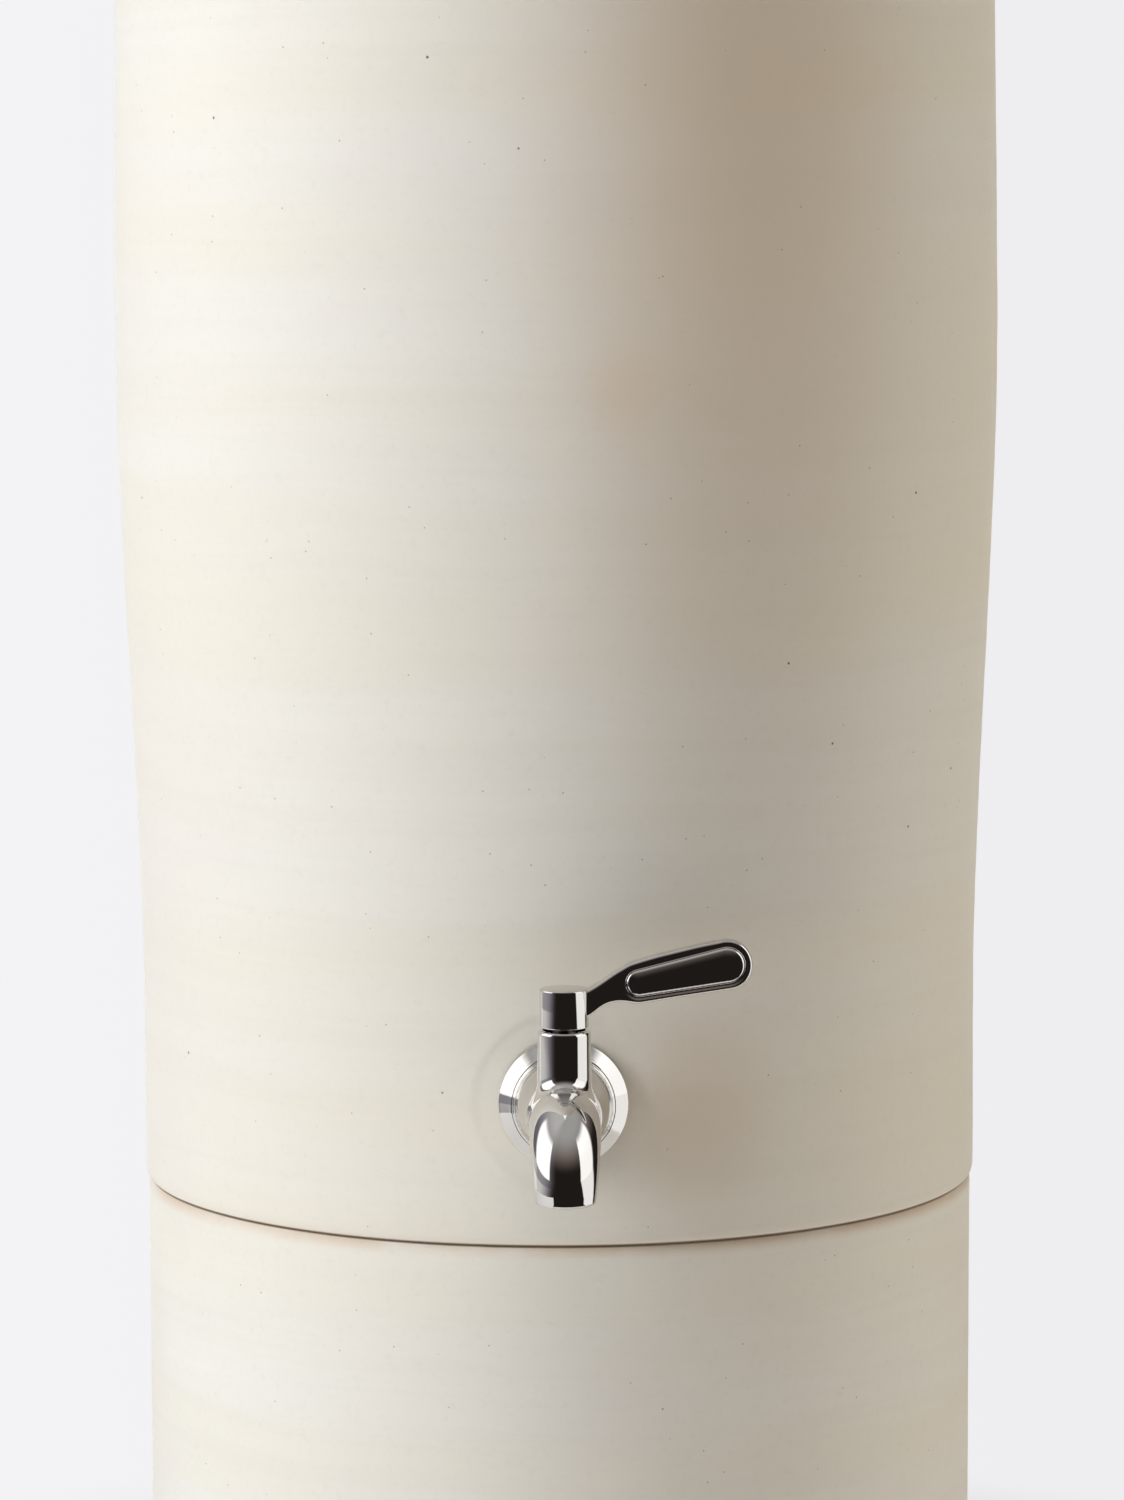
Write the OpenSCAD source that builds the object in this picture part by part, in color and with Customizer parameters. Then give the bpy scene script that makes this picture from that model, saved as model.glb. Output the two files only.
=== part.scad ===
// Gravity water filter: a thrown stoneware vessel with a quarter-turn steel tap, on a ring stand.
// A hanging filter chamber sits in the vessel's mouth and carries two candle filters, and a lid closes it.
// Millimetres. The origin is at the middle of the stand's foot, +Z is up, and the tap faces -Y.

/* [Stand] */
// Height of the ring stand
stand_h = 150; // [100:1:220]
// Thickness of the stand's wall
stand_wall = 11; // [8:0.5:14]
// How far the stand's wall stays inside the vessel's foot
stand_inset = 0.8; // [0:0.1:2]

/* [Vessel] */
// Height of the vessel, from its foot to its rim
vessel_h = 360; // [330:1:420]
// Outside radius at the foot
foot_r = 118.8; // [112:0.1:130]
// Height of the straight stretch above the foot
straight_h = 50; // [40:1:100]
// Height of the widest ring above the foot
belly_at = 237; // [180:1:280]
// How far the belly stands out past the foot
belly_out = 5.8; // [0:0.1:10]
// How far the rim draws in from the belly
rim_in = 1.1; // [0:0.1:4]
// Thickness of the vessel's wall
wall = 9; // [7:0.5:11]
// Thickness of the vessel's floor above the foot
floor_t = 9; // [7:0.5:14]
// Depth of the turned boss that drops into the stand
nest_h = 6; // [3:0.5:10]
// Radial gap between that boss and the stand
nest_gap = 1.5; // [0.5:0.1:3]
// Width of the soft edge at the foot and at the stand's top
soft_edge = 1.7; // [0.5:0.1:3]
// Height of that soft edge
soft_edge_h = 4.6; // [2:0.1:8]

/* [Filter chamber] */
// Depth of the chamber below the vessel's rim
chamber_depth = 160; // [150:1:190]
// Thickness of the chamber's wall
chamber_wall = 8; // [6:0.5:10]
// Thickness of the chamber's floor
chamber_floor = 9; // [7:0.5:12]
// Thickness of the flange that rests on the vessel's rim
flange_t = 9; // [6:0.5:12]
// Radial gap between the chamber's collar and the vessel's mouth
collar_gap = 1.5; // [0.8:0.1:3]
// Height of that collar
collar_h = 14; // [8:1:24]
// How far the chamber's wall stays inside its collar
collar_step = 3; // [1:0.5:6]
// How much the chamber narrows towards its floor
chamber_taper = 4; // [0:0.5:10]

/* [Lid] */
// Thickness of the lid at its edge
lid_t = 9; // [7:0.5:12]
// How far the lid's top rises towards its knob
lid_rise = 5; // [0:0.5:10]
// Radius of the knob
knob_r = 18; // [14:0.5:24]
// Height of the knob above the lid's top
knob_h = 25; // [18:0.5:34]
// Depth of the ring that keeps the lid in place
lid_ring_h = 8; // [4:0.5:12]
// Thickness of that ring
lid_ring_t = 7; // [5:0.5:10]
// Radial gap between the ring and the chamber's mouth
lid_gap = 2; // [1:0.1:4]

/* [Candles] */
// Distance of each candle from the middle
candle_out = 50; // [36:1:60]
// Outside radius of a candle's shell
candle_r = 25; // [20:0.5:30]
// Height of a candle's shell
candle_h = 108; // [80:1:115]
// Thickness of a candle's shell
candle_wall = 7; // [4:0.5:9]
// Radius of the carbon core
core_r = 15; // [8:0.5:16.5]
// Height of a candle's base
base_h = 13; // [10:0.5:18]
// Depth of the shell's socket in the base
socket_h = 8; // [4:0.5:8.5]
// Radius of the threaded stem
stem_r = 6; // [5:0.25:7]
// Radius of the stem's water way
stem_bore = 3; // [2:0.25:3.5]
// Thickness of the sealing washers under each base and floor
candle_seal_t = 3; // [2:0.5:4]
// Width of the ring of the washers under the bases
candle_seal_w = 9; // [6:0.5:12]
// Width of the ring of the washers under the chamber's floor
candle_under_w = 7; // [5:0.5:10]
// How far a base's grip stands out past the shell
candle_grip = 1.6; // [1:0.1:3]
// Height of a wing nut
wing_nut_h = 10; // [8:0.5:14]
// Span of a wing nut from tip to tip
wing_span = 42; // [34:1:52]
// Thickness of a wing nut's ears
wing_t = 3; // [2:0.5:5]
// Thickness of a wing nut's hub
wing_hub_w = 3.5; // [2.5:0.5:5]
// Length of stem that shows past a wing nut
stem_past = 4; // [1:0.5:8]

/* [Tap] */
// Height of the tap's axis above the vessel's foot
tap_up = 39; // [36:0.5:60]
// Radius of the threaded shank
shank_r = 8; // [7.25:0.25:8.5]
// Length of shank that shows past the nut
shank_past = 3; // [1:0.5:8]
// Radius of the tap's flange
flange_r = 17.25; // [16:0.25:20]
// Thickness of the flange's edge
flange_edge = 1.3; // [0.8:0.1:2]
// Thickness of the flange at its hub
flange_hub = 4.2; // [3:0.1:5]
// Radius of the barrel where it leaves the flange
dome_r = 13.1; // [12:0.1:14.5]
// Radius of the barrel at the bonnet and at the bend's start
barrel_r = 9.5; // [9.4:0.1:11]
// Distance of the bonnet's axis from the flange's back
bonnet_out = 24.6; // [22:0.1:28]
// Radius of the bonnet
bonnet_r = 7; // [6.9:0.05:8]
// Height of the bonnet above the tap's axis
bonnet_h = 23.8; // [22:0.1:27]
// Radius of the spout's bend along its middle
bend_r = 15; // [13:0.5:18]
// Drop of the outlet below the tap's axis
outlet_drop = 18; // [17:0.5:24]
// Outside radius of the outlet
outlet_r = 7.75; // [7.3:0.05:8.5]
// Radius of the outlet's bore
outlet_bore = 5.6; // [4.5:0.1:6]
// Radius of the water way between the shank and the bend
waterway_r = 3.8; // [3:0.1:4]
// Thickness of the rubber washers on both faces of the wall
washer_t = 2; // [1.5:0.1:3]
// Radius of the washer under the flange
washer_r = 15.5; // [14:0.25:16]
// Thickness of the shank's nut
nut_t = 8; // [6:0.5:10]
// Width of the nut across its flats
nut_af = 24; // [22:0.5:27]
// Depth of the pressed ring round the tap
press_depth = 0.2; // [0.2:0.1:1]
// Radius of that ring
press_r = 23.3; // [20:0.1:26]

/* [Valve] */
// Radius of the valve's chamber in the bonnet
valve_bore = 5.6; // [5.4:0.05:5.8]
// Thickness of the sealing sleeve
sleeve_t = 1.15; // [0.8:0.05:1.3]
// Height of the sleeve above and below the tap's axis
sleeve_half = 6.6; // [5.5:0.1:7.5]
// Radius of the port through the plug
port_r = 2.8; // [2:0.1:3]
// Radius of the plug's stem
plug_stem_r = 3.1; // [2.6:0.1:3.3]
// Thickness of an O-ring
o_ring_t = 1.5; // [1.2:0.1:1.6]
// Thickness of the retaining clip
clip_t = 0.8; // [0.6:0.1:1]
// Depth of the clip's groove in the bonnet's bore
clip_bite = 0.55; // [0.4:0.05:0.6]
// Angle that the lever turns between closed and open
turn = 90; // [60:5:100]
// Radius of the pin that stops the plug at both ends of its turn
stop_r = 0.8; // [0.5:0.1:0.9]

/* [Lever] */
// Radius of the lever's hub
hub_r = 6.45; // [6:0.05:7]
// Height of the hub
hub_h = 9.8; // [9.4:0.1:13]
// Gap between the hub and the bonnet
hub_gap = 1.05; // [0.5:0.05:2]
// Distance from the hub's axis to the middle of the handle's inner end
handle_in = 19.5; // [17:0.5:24]
// Distance from the hub's axis to the middle of the handle's outer end
handle_out = 42.4; // [36:0.1:52]
// Half the handle's height at its inner end
handle_in_r = 5.4; // [4.5:0.1:6.2]
// Half the handle's height at its outer end
handle_out_r = 6.6; // [5.5:0.1:8]
// Rise of the handle from its inner to its outer end
handle_rise = 4.6; // [0:0.1:8]
// Rise of the handle's inner end above the middle of the neck's root
neck_rise = 5.35; // [2:0.05:8]
// Thickness of the handle's blade
blade_t = 4.4; // [3.6:0.1:5.2]
// How far the raised pad stands out of the blade
pad_out = 0.9; // [0.5:0.1:1.4]
// Width of the rim round the pad
pad_rim = 1.9; // [1.4:0.1:2.4]

/* [Hidden] */
$fn = 96;

// Colours of the finishes
clay = [0.86, 0.83, 0.76];
steel = [0.78, 0.78, 0.79];
silicone = [0.85, 0.86, 0.85];
ptfe = [0.94, 0.94, 0.92];
candle_clay = [0.93, 0.92, 0.89];
carbon = [0.12, 0.12, 0.13];
white_plastic = [0.90, 0.91, 0.91];
rubber = [0.10, 0.10, 0.10];

// Fits
slip = 0.05;        // radial clearance of a turning or a sliding fit
hole_play = 0.5;    // radial play of the shank and the stems in the clay
face_play = 0.1;    // clearance between end faces that move past each other
spot_cut = 0.3;     // depth of the flat under the inner washer
eps = 0.01;         // overlap that keeps cuts clean
bore_over = 1;      // how far a cutter runs past the face it opens

// Profiles of the thrown pieces
ring_step = 15;     // height between the rings of the vessel's profile
foot_round = 3;     // rounding of the stand's foot
rim_round = 2.5;    // rounding of rims and of the flange's and lid's edges
inner_round = 12;   // rounding between a wall and its floor
corner_steps = 6;   // points on a rounded corner

// Levels, from the foot up
foot_z = stand_h;
rim_z = foot_z + vessel_h;
lid_z = rim_z + flange_t;
chamber_z = rim_z - chamber_depth;
tap_z = foot_z + tap_up;

// Radii that follow from the driving ones
stand_r = foot_r - stand_inset;
stand_in = stand_r - stand_wall;
nest_r = stand_in - nest_gap;
rim_r = foot_r + belly_out - rim_in;
mouth_r = rim_r - wall;
collar_r = mouth_r - collar_gap;
chamber_r = collar_r - collar_step;
chamber_in = chamber_r - chamber_wall;
chamber_foot_r = chamber_r - chamber_taper;
lid_ring_r = chamber_in - lid_gap;

// The candle stack, from the chamber's floor up and down
base_r = candle_r + candle_grip;
seal_r = stem_r + candle_seal_w;
under_r = stem_r + candle_under_w;
wing_hub_r = stem_r + wing_hub_w;
candle_floor_z = chamber_z + chamber_floor;
base_z = candle_floor_z + candle_seal_t;
shell_z = base_z + base_h - socket_h;
nut_z = chamber_z - candle_seal_t - wing_nut_h;
core_h = candle_h - candle_r - candle_wall;

// The tap's places, measured outwards from the flat seat on the wall
wall_r = vessel_r(tap_up);
seat_r = washer_r + 0.7;
seat_out = sqrt(pow(wall_r - press_depth, 2) - seat_r * seat_r) - 0.1;
seat_in = wall_r - wall + spot_cut;
wall_at_tap = seat_out - seat_in;
flange_back = washer_t;
bonnet_at = flange_back + bonnet_out;
bend_at = bonnet_at + bonnet_r;
spout_at = bend_at + bend_r;
shank_end = wall_at_tap + washer_t + nut_t + shank_past;
nut_seat_r = nut_af / 2 / cos(30) + 1;
inner_washer_r = nut_af / 2 + 2;

// The valve's levels above the tap's axis
plug_r = valve_bore - slip - sleeve_t - slip;
gland_r = valve_bore - 0.25;
gland_z = sleeve_half + 0.6;
o_ring_pitch = o_ring_t + 1.1;
groove_w = o_ring_t + 0.2;
groove_r = valve_bore - slip - o_ring_t - slip;
stop_z = gland_z + 2 * o_ring_pitch + 0.2 + stop_r;
gland_top = stop_z + stop_r + 0.35;
clip_z = gland_top + face_play;
clip_in = plug_stem_r + 0.9;
hub_z = bonnet_h + hub_gap;
hub_top = hub_z + hub_h;
stem_top = hub_top - 3;
stop_in = gland_r - 1.5;

// The lever's middle line
neck_z = hub_top - 3.75;
neck_root_x = hub_r - 2.2;
neck_root_half = 3.75;
handle_in_z = neck_z + neck_rise;
handle_out_z = handle_in_z + handle_rise;
handle_l = norm([handle_out - handle_in, handle_rise]);
handle_tilt = atan2(handle_rise, handle_out - handle_in);

// Rises smoothly from 0 to 1 as t goes from 0 to 1.
function ease(t) = let (u = min(1, max(0, t))) u * u * (3 - 2 * u);

// Outside radius of the vessel at a height above its foot.
function vessel_r(z) = foot_r
    + belly_out * ease((z - straight_h) / (belly_at - straight_h))
    - rim_in * ease((z - belly_at) / (vessel_h - belly_at));

// Points on an elliptical arc round [x, y], from one angle to another.
function arc(x, y, rx, ry, from, to, steps = corner_steps) =
    [for (i = [0:steps]) let (a = from + (to - from) * i / steps) [x + rx * cos(a), y + ry * sin(a)]];

// The vessel's wall from one height to another, offset inwards, as points of its profile.
function wall_line(from, to, inwards) =
    let (steps = max(2, round(abs(to - from) / ring_step)))
    [for (i = [0:steps]) let (z = from + (to - from) * i / steps) [vessel_r(z) - inwards, z]];

// Rings of points joined into a closed skin: each ring has the same number of points and turns
// clockwise as seen from the first ring.
module skin(rings) {
    sides = len(rings[0]);
    last = len(rings) - 1;
    points = [for (ring = rings) for (p = ring) p];
    walls = [for (i = [0:last - 1]) for (j = [0:sides - 1]) let (k = (j + 1) % sides)
        each [[i * sides + j, i * sides + k, (i + 1) * sides + k],
              [i * sides + j, (i + 1) * sides + k, (i + 1) * sides + j]]];
    caps = [[for (j = [sides - 1:-1:0]) j], [for (j = [0:sides - 1]) last * sides + j]];
    polyhedron(points, concat(caps, walls));
}

// A round bar along the tap's axis, between two distances outwards.
module outwards(from, to, r) {
    translate([0, -from, 0]) rotate([90, 0, 0]) cylinder(r = r, h = to - from);
}

// Puts its children at the tap's axis on the flat seat of the wall.
module at_tap() {
    translate([0, -seat_out, tap_z]) children();
}

// Puts its children on the bonnet's axis, at the level of the tap's axis.
module at_bonnet() {
    at_tap() translate([0, -bonnet_at, 0]) children();
}

// One copy of its children on each candle's axis.
module at_candles() {
    for (side = [-1, 1]) translate([side * candle_out, 0, 0]) children();
}

// A flat washer.
module washer(r, bore, t) {
    difference() {
        cylinder(r = r, h = t);
        translate([0, 0, -bore_over]) cylinder(r = bore, h = t + 2 * bore_over);
    }
}

// Open ring of stoneware that lifts the vessel, with soft edges.
module stand() {
    color(clay) rotate_extrude() polygon(concat(
        arc(stand_r - foot_round, foot_round, foot_round, foot_round, -90, 0),
        arc(stand_r - soft_edge, stand_h - soft_edge_h, soft_edge, soft_edge_h, 0, 90),
        arc(stand_in + foot_round, stand_h - foot_round, foot_round, foot_round, 90, 180),
        arc(stand_in + foot_round, foot_round, foot_round, foot_round, 180, 270)
    ));
}

// Tall vessel that keeps the filtered water. A boss under its floor drops into the stand.
module vessel() {
    color(clay) difference() {
        translate([0, 0, foot_z]) rotate_extrude() polygon(concat(
            [[0, -nest_h], [nest_r - foot_round, -nest_h]],
            arc(nest_r - foot_round, foot_round - nest_h, foot_round, foot_round, -60, 0, 3),
            [[nest_r, 0]],
            arc(foot_r - soft_edge, soft_edge_h, soft_edge, soft_edge_h, -90, 0),
            wall_line(soft_edge_h + ring_step, vessel_h - rim_round - ring_step, 0),
            arc(rim_r - rim_round, vessel_h - rim_round, rim_round, rim_round, 0, 90),
            arc(mouth_r + rim_round, vessel_h - rim_round, rim_round, rim_round, 90, 180),
            wall_line(vessel_h - rim_round - ring_step, floor_t + inner_round + ring_step, wall),
            arc(foot_r - wall - inner_round, floor_t + inner_round, inner_round, inner_round, 0, -90),
            [[0, floor_t]]
        ));
        tap_seat();
    }
}

// Cuts the tap's hole, the flat seats for both washers and the shallow pressed ring round them.
module tap_seat() {
    at_tap() {
        outwards(-wall_at_tap - bore_over, bore_over, shank_r + hole_play);
        outwards(0, press_depth + wall, seat_r);
        outwards(-wall_at_tap - inner_round, -wall_at_tap, nut_seat_r + 1);
    }
    intersection() {
        at_tap() outwards(-wall_at_tap / 2, wall, press_r);
        translate([0, 0, tap_z - press_r - 1]) difference() {
            cylinder(r = wall_r + wall, h = 2 * press_r + 2);
            translate([0, 0, -bore_over]) cylinder(r = wall_r - press_depth, h = 2 * press_r + 2 + 2 * bore_over);
        }
    }
}

// Raw-water pot that hangs in the vessel's mouth by its flange. Two holes take the candles' stems.
module filter_chamber() {
    floor_round = min(inner_round, chamber_wall + 4);
    color(clay) difference() {
        rotate_extrude() polygon(concat(
            [[0, chamber_z]],
            arc(chamber_foot_r - floor_round, chamber_z + floor_round, floor_round, floor_round, -90, 0),
            [[chamber_r, rim_z - collar_h - collar_step], [collar_r, rim_z - collar_h], [collar_r, rim_z]],
            arc(rim_r - rim_round, rim_z + rim_round, rim_round, rim_round, -90, 0, 4),
            arc(rim_r - rim_round, lid_z - rim_round, rim_round, rim_round, 0, 90, 4),
            arc(chamber_in + rim_round, lid_z - rim_round, rim_round, rim_round, 90, 180, 4),
            [[chamber_in, rim_z - collar_h - collar_step]],
            arc(chamber_foot_r - chamber_wall - floor_round, candle_floor_z + floor_round,
                floor_round, floor_round, 0, -90),
            [[0, candle_floor_z]]
        ));
        at_candles() translate([0, 0, chamber_z - bore_over])
            cylinder(r = stem_r + hole_play, h = chamber_floor + 2 * bore_over);
    }
}

// Domed lid with a thrown knob. The ring below it drops into the chamber's mouth.
module lid() {
    top_z = lid_z + lid_t + lid_rise;
    knob_neck_r = 0.62 * knob_r;
    knob_round = 0.34 * knob_h;
    cove = 0.3 * knob_h;
    color(clay) rotate_extrude() polygon(concat(
        [[0, lid_z], [lid_ring_r - lid_ring_t, lid_z], [lid_ring_r - lid_ring_t, lid_z - lid_ring_h + 1]],
        arc(lid_ring_r - lid_ring_t + 1, lid_z - lid_ring_h + 1, 1, 1, 180, 270, 3),
        arc(lid_ring_r - 2, lid_z - lid_ring_h + 2, 2, 2, -90, 0, 4),
        [[lid_ring_r, lid_z]],
        arc(rim_r - rim_round, lid_z + rim_round, rim_round, rim_round, -90, 0, 4),
        arc(rim_r - rim_round, lid_z + lid_t - rim_round, rim_round, rim_round, 0, 84, 4),
        [for (i = [1:8]) let (t = i / 9)
            [(1 - t) * (rim_r - rim_round) + t * (knob_neck_r + cove), lid_z + lid_t + lid_rise * sin(90 * t)]],
        arc(knob_neck_r + cove, top_z + cove, cove, cove, -90, -180),
        arc(knob_r - knob_round, top_z + knob_h - knob_round, knob_round, knob_round, -50, 80, 9),
        [[0, top_z + knob_h]]
    ));
}

// Ring of the tap's outer skin: its middle, its lean from the vertical plane and its radius.
function spout_ring(out, up, lean, r, sides = 40) =
    [for (j = [0:sides - 1]) let (a = 360 * j / sides, h = r * cos(a))
        [r * sin(a), -out - h * sin(lean), up + h * cos(lean)]];

// Radius of the barrel between the flange and the bend, drawn in from the dome.
function dome_line(t) = barrel_r + (dome_r - barrel_r) * (0.5 + 0.5 * cos(180 * t));

// Swept skin of barrel and spout: the dome narrows to the barrel, bends down and tapers to the outlet.
module spout_skin() {
    dome_steps = 9;
    bend_steps = 12;
    dome_from = flange_back + flange_hub - 1;
    dome_to = bonnet_at - 2;
    bend_l = bend_r * PI / 2;
    skin_l = bend_l + outlet_drop - bend_r;
    skin(concat(
        [for (i = [0:dome_steps]) let (t = i / dome_steps)
            spout_ring(dome_from + (dome_to - dome_from) * t, 0, 0, dome_line(t))],
        [for (i = [0:bend_steps]) let (a = 90 * i / bend_steps, t = bend_l * i / bend_steps / skin_l)
            spout_ring(bend_at + bend_r * sin(a), bend_r * (cos(a) - 1), a,
                barrel_r + (outlet_r - barrel_r) * t * t)],
        [spout_ring(spout_at, -outlet_drop, 90, outlet_r)]
    ));
}

// Water ways of the tap: shank bore, slanting way to the bend, outlet bore and the valve's chamber.
module tap_water_ways() {
    bend_drop = outlet_drop - 1.7 * outlet_bore;
    slant = atan2(bend_drop, bend_r + bonnet_r);
    outwards(-shank_end - bore_over, bonnet_at, waterway_r);
    translate([0, -bonnet_at, 0]) rotate([90 + slant, 0, 0])
        cylinder(r = waterway_r, h = norm([bend_r + bonnet_r, bend_drop]));
    translate([0, -spout_at, -bend_drop]) sphere(r = outlet_bore);
    translate([0, -spout_at, -outlet_drop - bore_over]) cylinder(r = outlet_bore, h = outlet_drop - bend_drop + bore_over);
    translate([0, -bonnet_at, -sleeve_half]) cylinder(r = valve_bore, h = sleeve_half + bonnet_h + bore_over);
    translate([0, -bonnet_at, clip_z]) cylinder(r = valve_bore + clip_bite, h = clip_t);
}

// One steel casting: threaded shank, coned flange, domed barrel, bonnet and bent spout.
module tap_body() {
    thread_chamfer = 1;
    bonnet_chamfer = 0.8;
    color(steel) at_tap() difference() {
        union() {
            spout_skin();
            rotate([90, 0, 0]) rotate_extrude() polygon([
                [0, -shank_end], [shank_r - thread_chamfer, -shank_end],
                [shank_r, thread_chamfer - shank_end], [shank_r, flange_back],
                [flange_r, flange_back], [flange_r, flange_back + flange_edge],
                [dome_r + 0.5, flange_back + flange_hub], [0, flange_back + flange_hub]
            ]);
            translate([0, -bonnet_at, 0]) rotate_extrude() polygon([
                [0, 0], [bonnet_r, 0], [bonnet_r, bonnet_h - bonnet_chamfer],
                [bonnet_r - bonnet_chamfer, bonnet_h], [0, bonnet_h]
            ]);
        }
        tap_water_ways();
        translate([0, -bonnet_at, stop_z]) rotate([-90, 0, 0]) cylinder(r = stop_r, h = bonnet_r - 0.4);
    }
}

// Half the neck's height: it is pinched a little behind the hub and swells into the handle.
function neck_half(t) = neck_root_half * (1 - t) + handle_in_r * t - 5 * t * (1 - t) * (1 - 0.35 * t);

// Middle line of the neck, a cubic curve from inside the hub to the handle's inner end.
function neck_line(t) = let (
    root = [neck_root_x, neck_z], end = [handle_in, handle_in_z],
    lead = [neck_root_x + 5, neck_z + 1.2],
    tail = end - 7 * [cos(handle_tilt), sin(handle_tilt)], s = 1 - t
) s * s * s * root + 3 * s * s * t * lead + 3 * s * t * t * tail + t * t * t * end;

// Ring of the lever's skin: its middle, its lean from the horizontal and its half height and thickness.
function lever_ring(at, lean, half_h, half_t, sides = 28) =
    [for (j = [0:sides - 1]) let (a = -360 * j / sides, c = cos(a), s = sin(a),
        h = half_h * sign(s) * pow(abs(s), 0.5), w = half_t * sign(c) * pow(abs(c), 0.5))
        [at.x - h * sin(lean), w, at.y + h * cos(lean)]];

// The neck and the handle's blade, swept from the hub to the round tip.
module lever_skin() {
    neck_steps = 8;
    tip_steps = 6;
    tip_half = blade_t / 2;
    skin(concat(
        [for (i = [0:neck_steps - 1]) let (t = i / neck_steps)
            lever_ring(neck_line(t), handle_tilt * (0.6 + 0.4 * t), neck_half(t), tip_half + 0.7 * (1 - t))],
        [for (i = [0:2]) let (t = i / 3)
            lever_ring([handle_in + (handle_out - handle_in) * t, handle_in_z + handle_rise * t], handle_tilt,
                handle_in_r + (handle_out_r - handle_in_r) * t, tip_half)],
        [for (i = [0:tip_steps]) let (a = 86 * i / tip_steps)
            lever_ring([handle_out + handle_out_r * sin(a) * cos(handle_tilt),
                        handle_out_z + handle_out_r * sin(a) * sin(handle_tilt)], handle_tilt,
                handle_out_r * cos(a), tip_half * pow(cos(a), 0.35))]
    ));
}

// Outline of the pad, a tapered capsule along the handle, drawn in from the rim.
function pad_outline(inwards, y, steps = 12) = let (
    r_in = handle_in_r - inwards, r_out = handle_out_r - inwards,
    flare = asin((r_out - r_in) / handle_l)
) concat(
    [for (i = [0:steps]) let (a = -90 - flare + (180 + 2 * flare) * i / steps)
        [handle_l + r_out * cos(a), y, -r_out * sin(a)]],
    [for (i = [0:steps]) let (a = 90 + flare + (180 - 2 * flare) * i / steps)
        [r_in * cos(a), y, -r_in * sin(a)]]
);

// The raised pad on one face of the handle, with a rounded edge.
module handle_pad() {
    sunk = blade_t / 2 - 0.6;
    top = blade_t / 2 + pad_out;
    translate([handle_in, 0, handle_in_z]) rotate([0, -handle_tilt, 0]) skin([
        pad_outline(pad_rim, -sunk),
        pad_outline(pad_rim, -top + 0.65),
        pad_outline(pad_rim + 0.2, -top + 0.25),
        pad_outline(pad_rim + 0.6, -top + 0.06),
        pad_outline(pad_rim + 1.1, -top)
    ]);
}

// Cast steel lever: a hub over the plug's stem, a bent neck and a handle with a pad on both faces.
module tap_lever() {
    chamfer = 0.35;
    color(steel) at_bonnet() difference() {
        union() {
            rotate_extrude() polygon([
                [0, hub_z], [hub_r - chamfer, hub_z], [hub_r, hub_z + chamfer],
                [hub_r, hub_top - chamfer], [hub_r - chamfer, hub_top], [0, hub_top]
            ]);
            lever_skin();
            handle_pad();
            mirror([0, 1, 0]) handle_pad();
        }
        translate([0, 0, hub_z - bore_over]) cylinder(r = plug_stem_r + slip, h = stem_top - hub_z + face_play + bore_over);
        translate([0, 0, neck_z]) rotate([-90, 0, 0]) cylinder(r = 2, h = hub_r + bore_over);
    }
}

// Plug of the valve: cross port, gland with two O-ring grooves and a stop notch, and the stem.
module valve_plug() {
    color(steel) at_bonnet() difference() {
        rotate_extrude() polygon([
            [0, face_play - sleeve_half], [plug_r, face_play - sleeve_half], [plug_r, gland_z - 0.3],
            [gland_r, gland_z - 0.3], [gland_r, gland_top], [plug_stem_r, gland_top],
            [plug_stem_r, stem_top], [0, stem_top]
        ]);
        rotate([0, 90, 0]) translate([0, 0, -valve_bore]) cylinder(r = port_r, h = 2 * valve_bore);
        for (i = [0:1]) translate([0, 0, gland_z + 0.15 + i * o_ring_pitch]) difference() {
            cylinder(r = valve_bore + 1, h = groove_w);
            translate([0, 0, -bore_over]) cylinder(r = groove_r, h = groove_w + 2 * bore_over);
        }
        stop_notch();
    }
}

// Sector of the gland in which the stop pin stands, as long as the lever's turn.
module stop_notch() {
    pin_half = asin((stop_r + face_play) / stop_in);
    translate([0, 0, stop_z - stop_r - face_play]) rotate([0, 0, 90 - pin_half])
        rotate_extrude(angle = turn + 2 * pin_half)
            translate([stop_in - 0.1, 0]) square([valve_bore, 2 * stop_r + 2 * face_play + 1]);
}

// Slippery liner between plug and casting, with a window towards the shank and one towards the spout.
module valve_sleeve() {
    color(ptfe) at_bonnet() difference() {
        translate([0, 0, -sleeve_half]) cylinder(r = valve_bore - slip, h = 2 * sleeve_half);
        translate([0, 0, -sleeve_half - bore_over])
            cylinder(r = plug_r + slip, h = 2 * sleeve_half + 2 * bore_over);
        translate([0, valve_bore + 1, 0]) rotate([90, 0, 0]) cylinder(r = port_r, h = 2 * valve_bore + 2);
    }
}

// Two O-rings that seal the gland.
module plug_o_rings() {
    color(rubber) at_bonnet() for (i = [0:1])
        translate([0, 0, gland_z + 0.15 + groove_w / 2 + i * o_ring_pitch])
            rotate_extrude() translate([groove_r + slip + o_ring_t / 2, 0]) circle(r = o_ring_t / 2, $fn = 32);
}

// Spring clip in the bonnet's groove, open at the front, that keeps the plug in.
module retaining_clip() {
    clip_r = valve_bore + clip_bite - slip;
    opening = 3;
    color(steel) at_bonnet() translate([0, 0, clip_z]) difference() {
        cylinder(r = clip_r, h = clip_t);
        translate([0, 0, -bore_over]) cylinder(r = clip_in, h = clip_t + 2 * bore_over);
        translate([-opening / 2, -clip_r - bore_over, -bore_over])
            cube([opening, clip_r + bore_over, clip_t + 2 * bore_over]);
    }
}

// Pin in the bonnet's wall that stops the plug when it is closed and when it is open.
module stop_pin() {
    color(steel) at_bonnet() translate([0, stop_in, stop_z]) rotate([-90, 0, 0])
        cylinder(r = stop_r - slip, h = bonnet_r - 0.4 - face_play - stop_in, $fn = 48);
}

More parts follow.
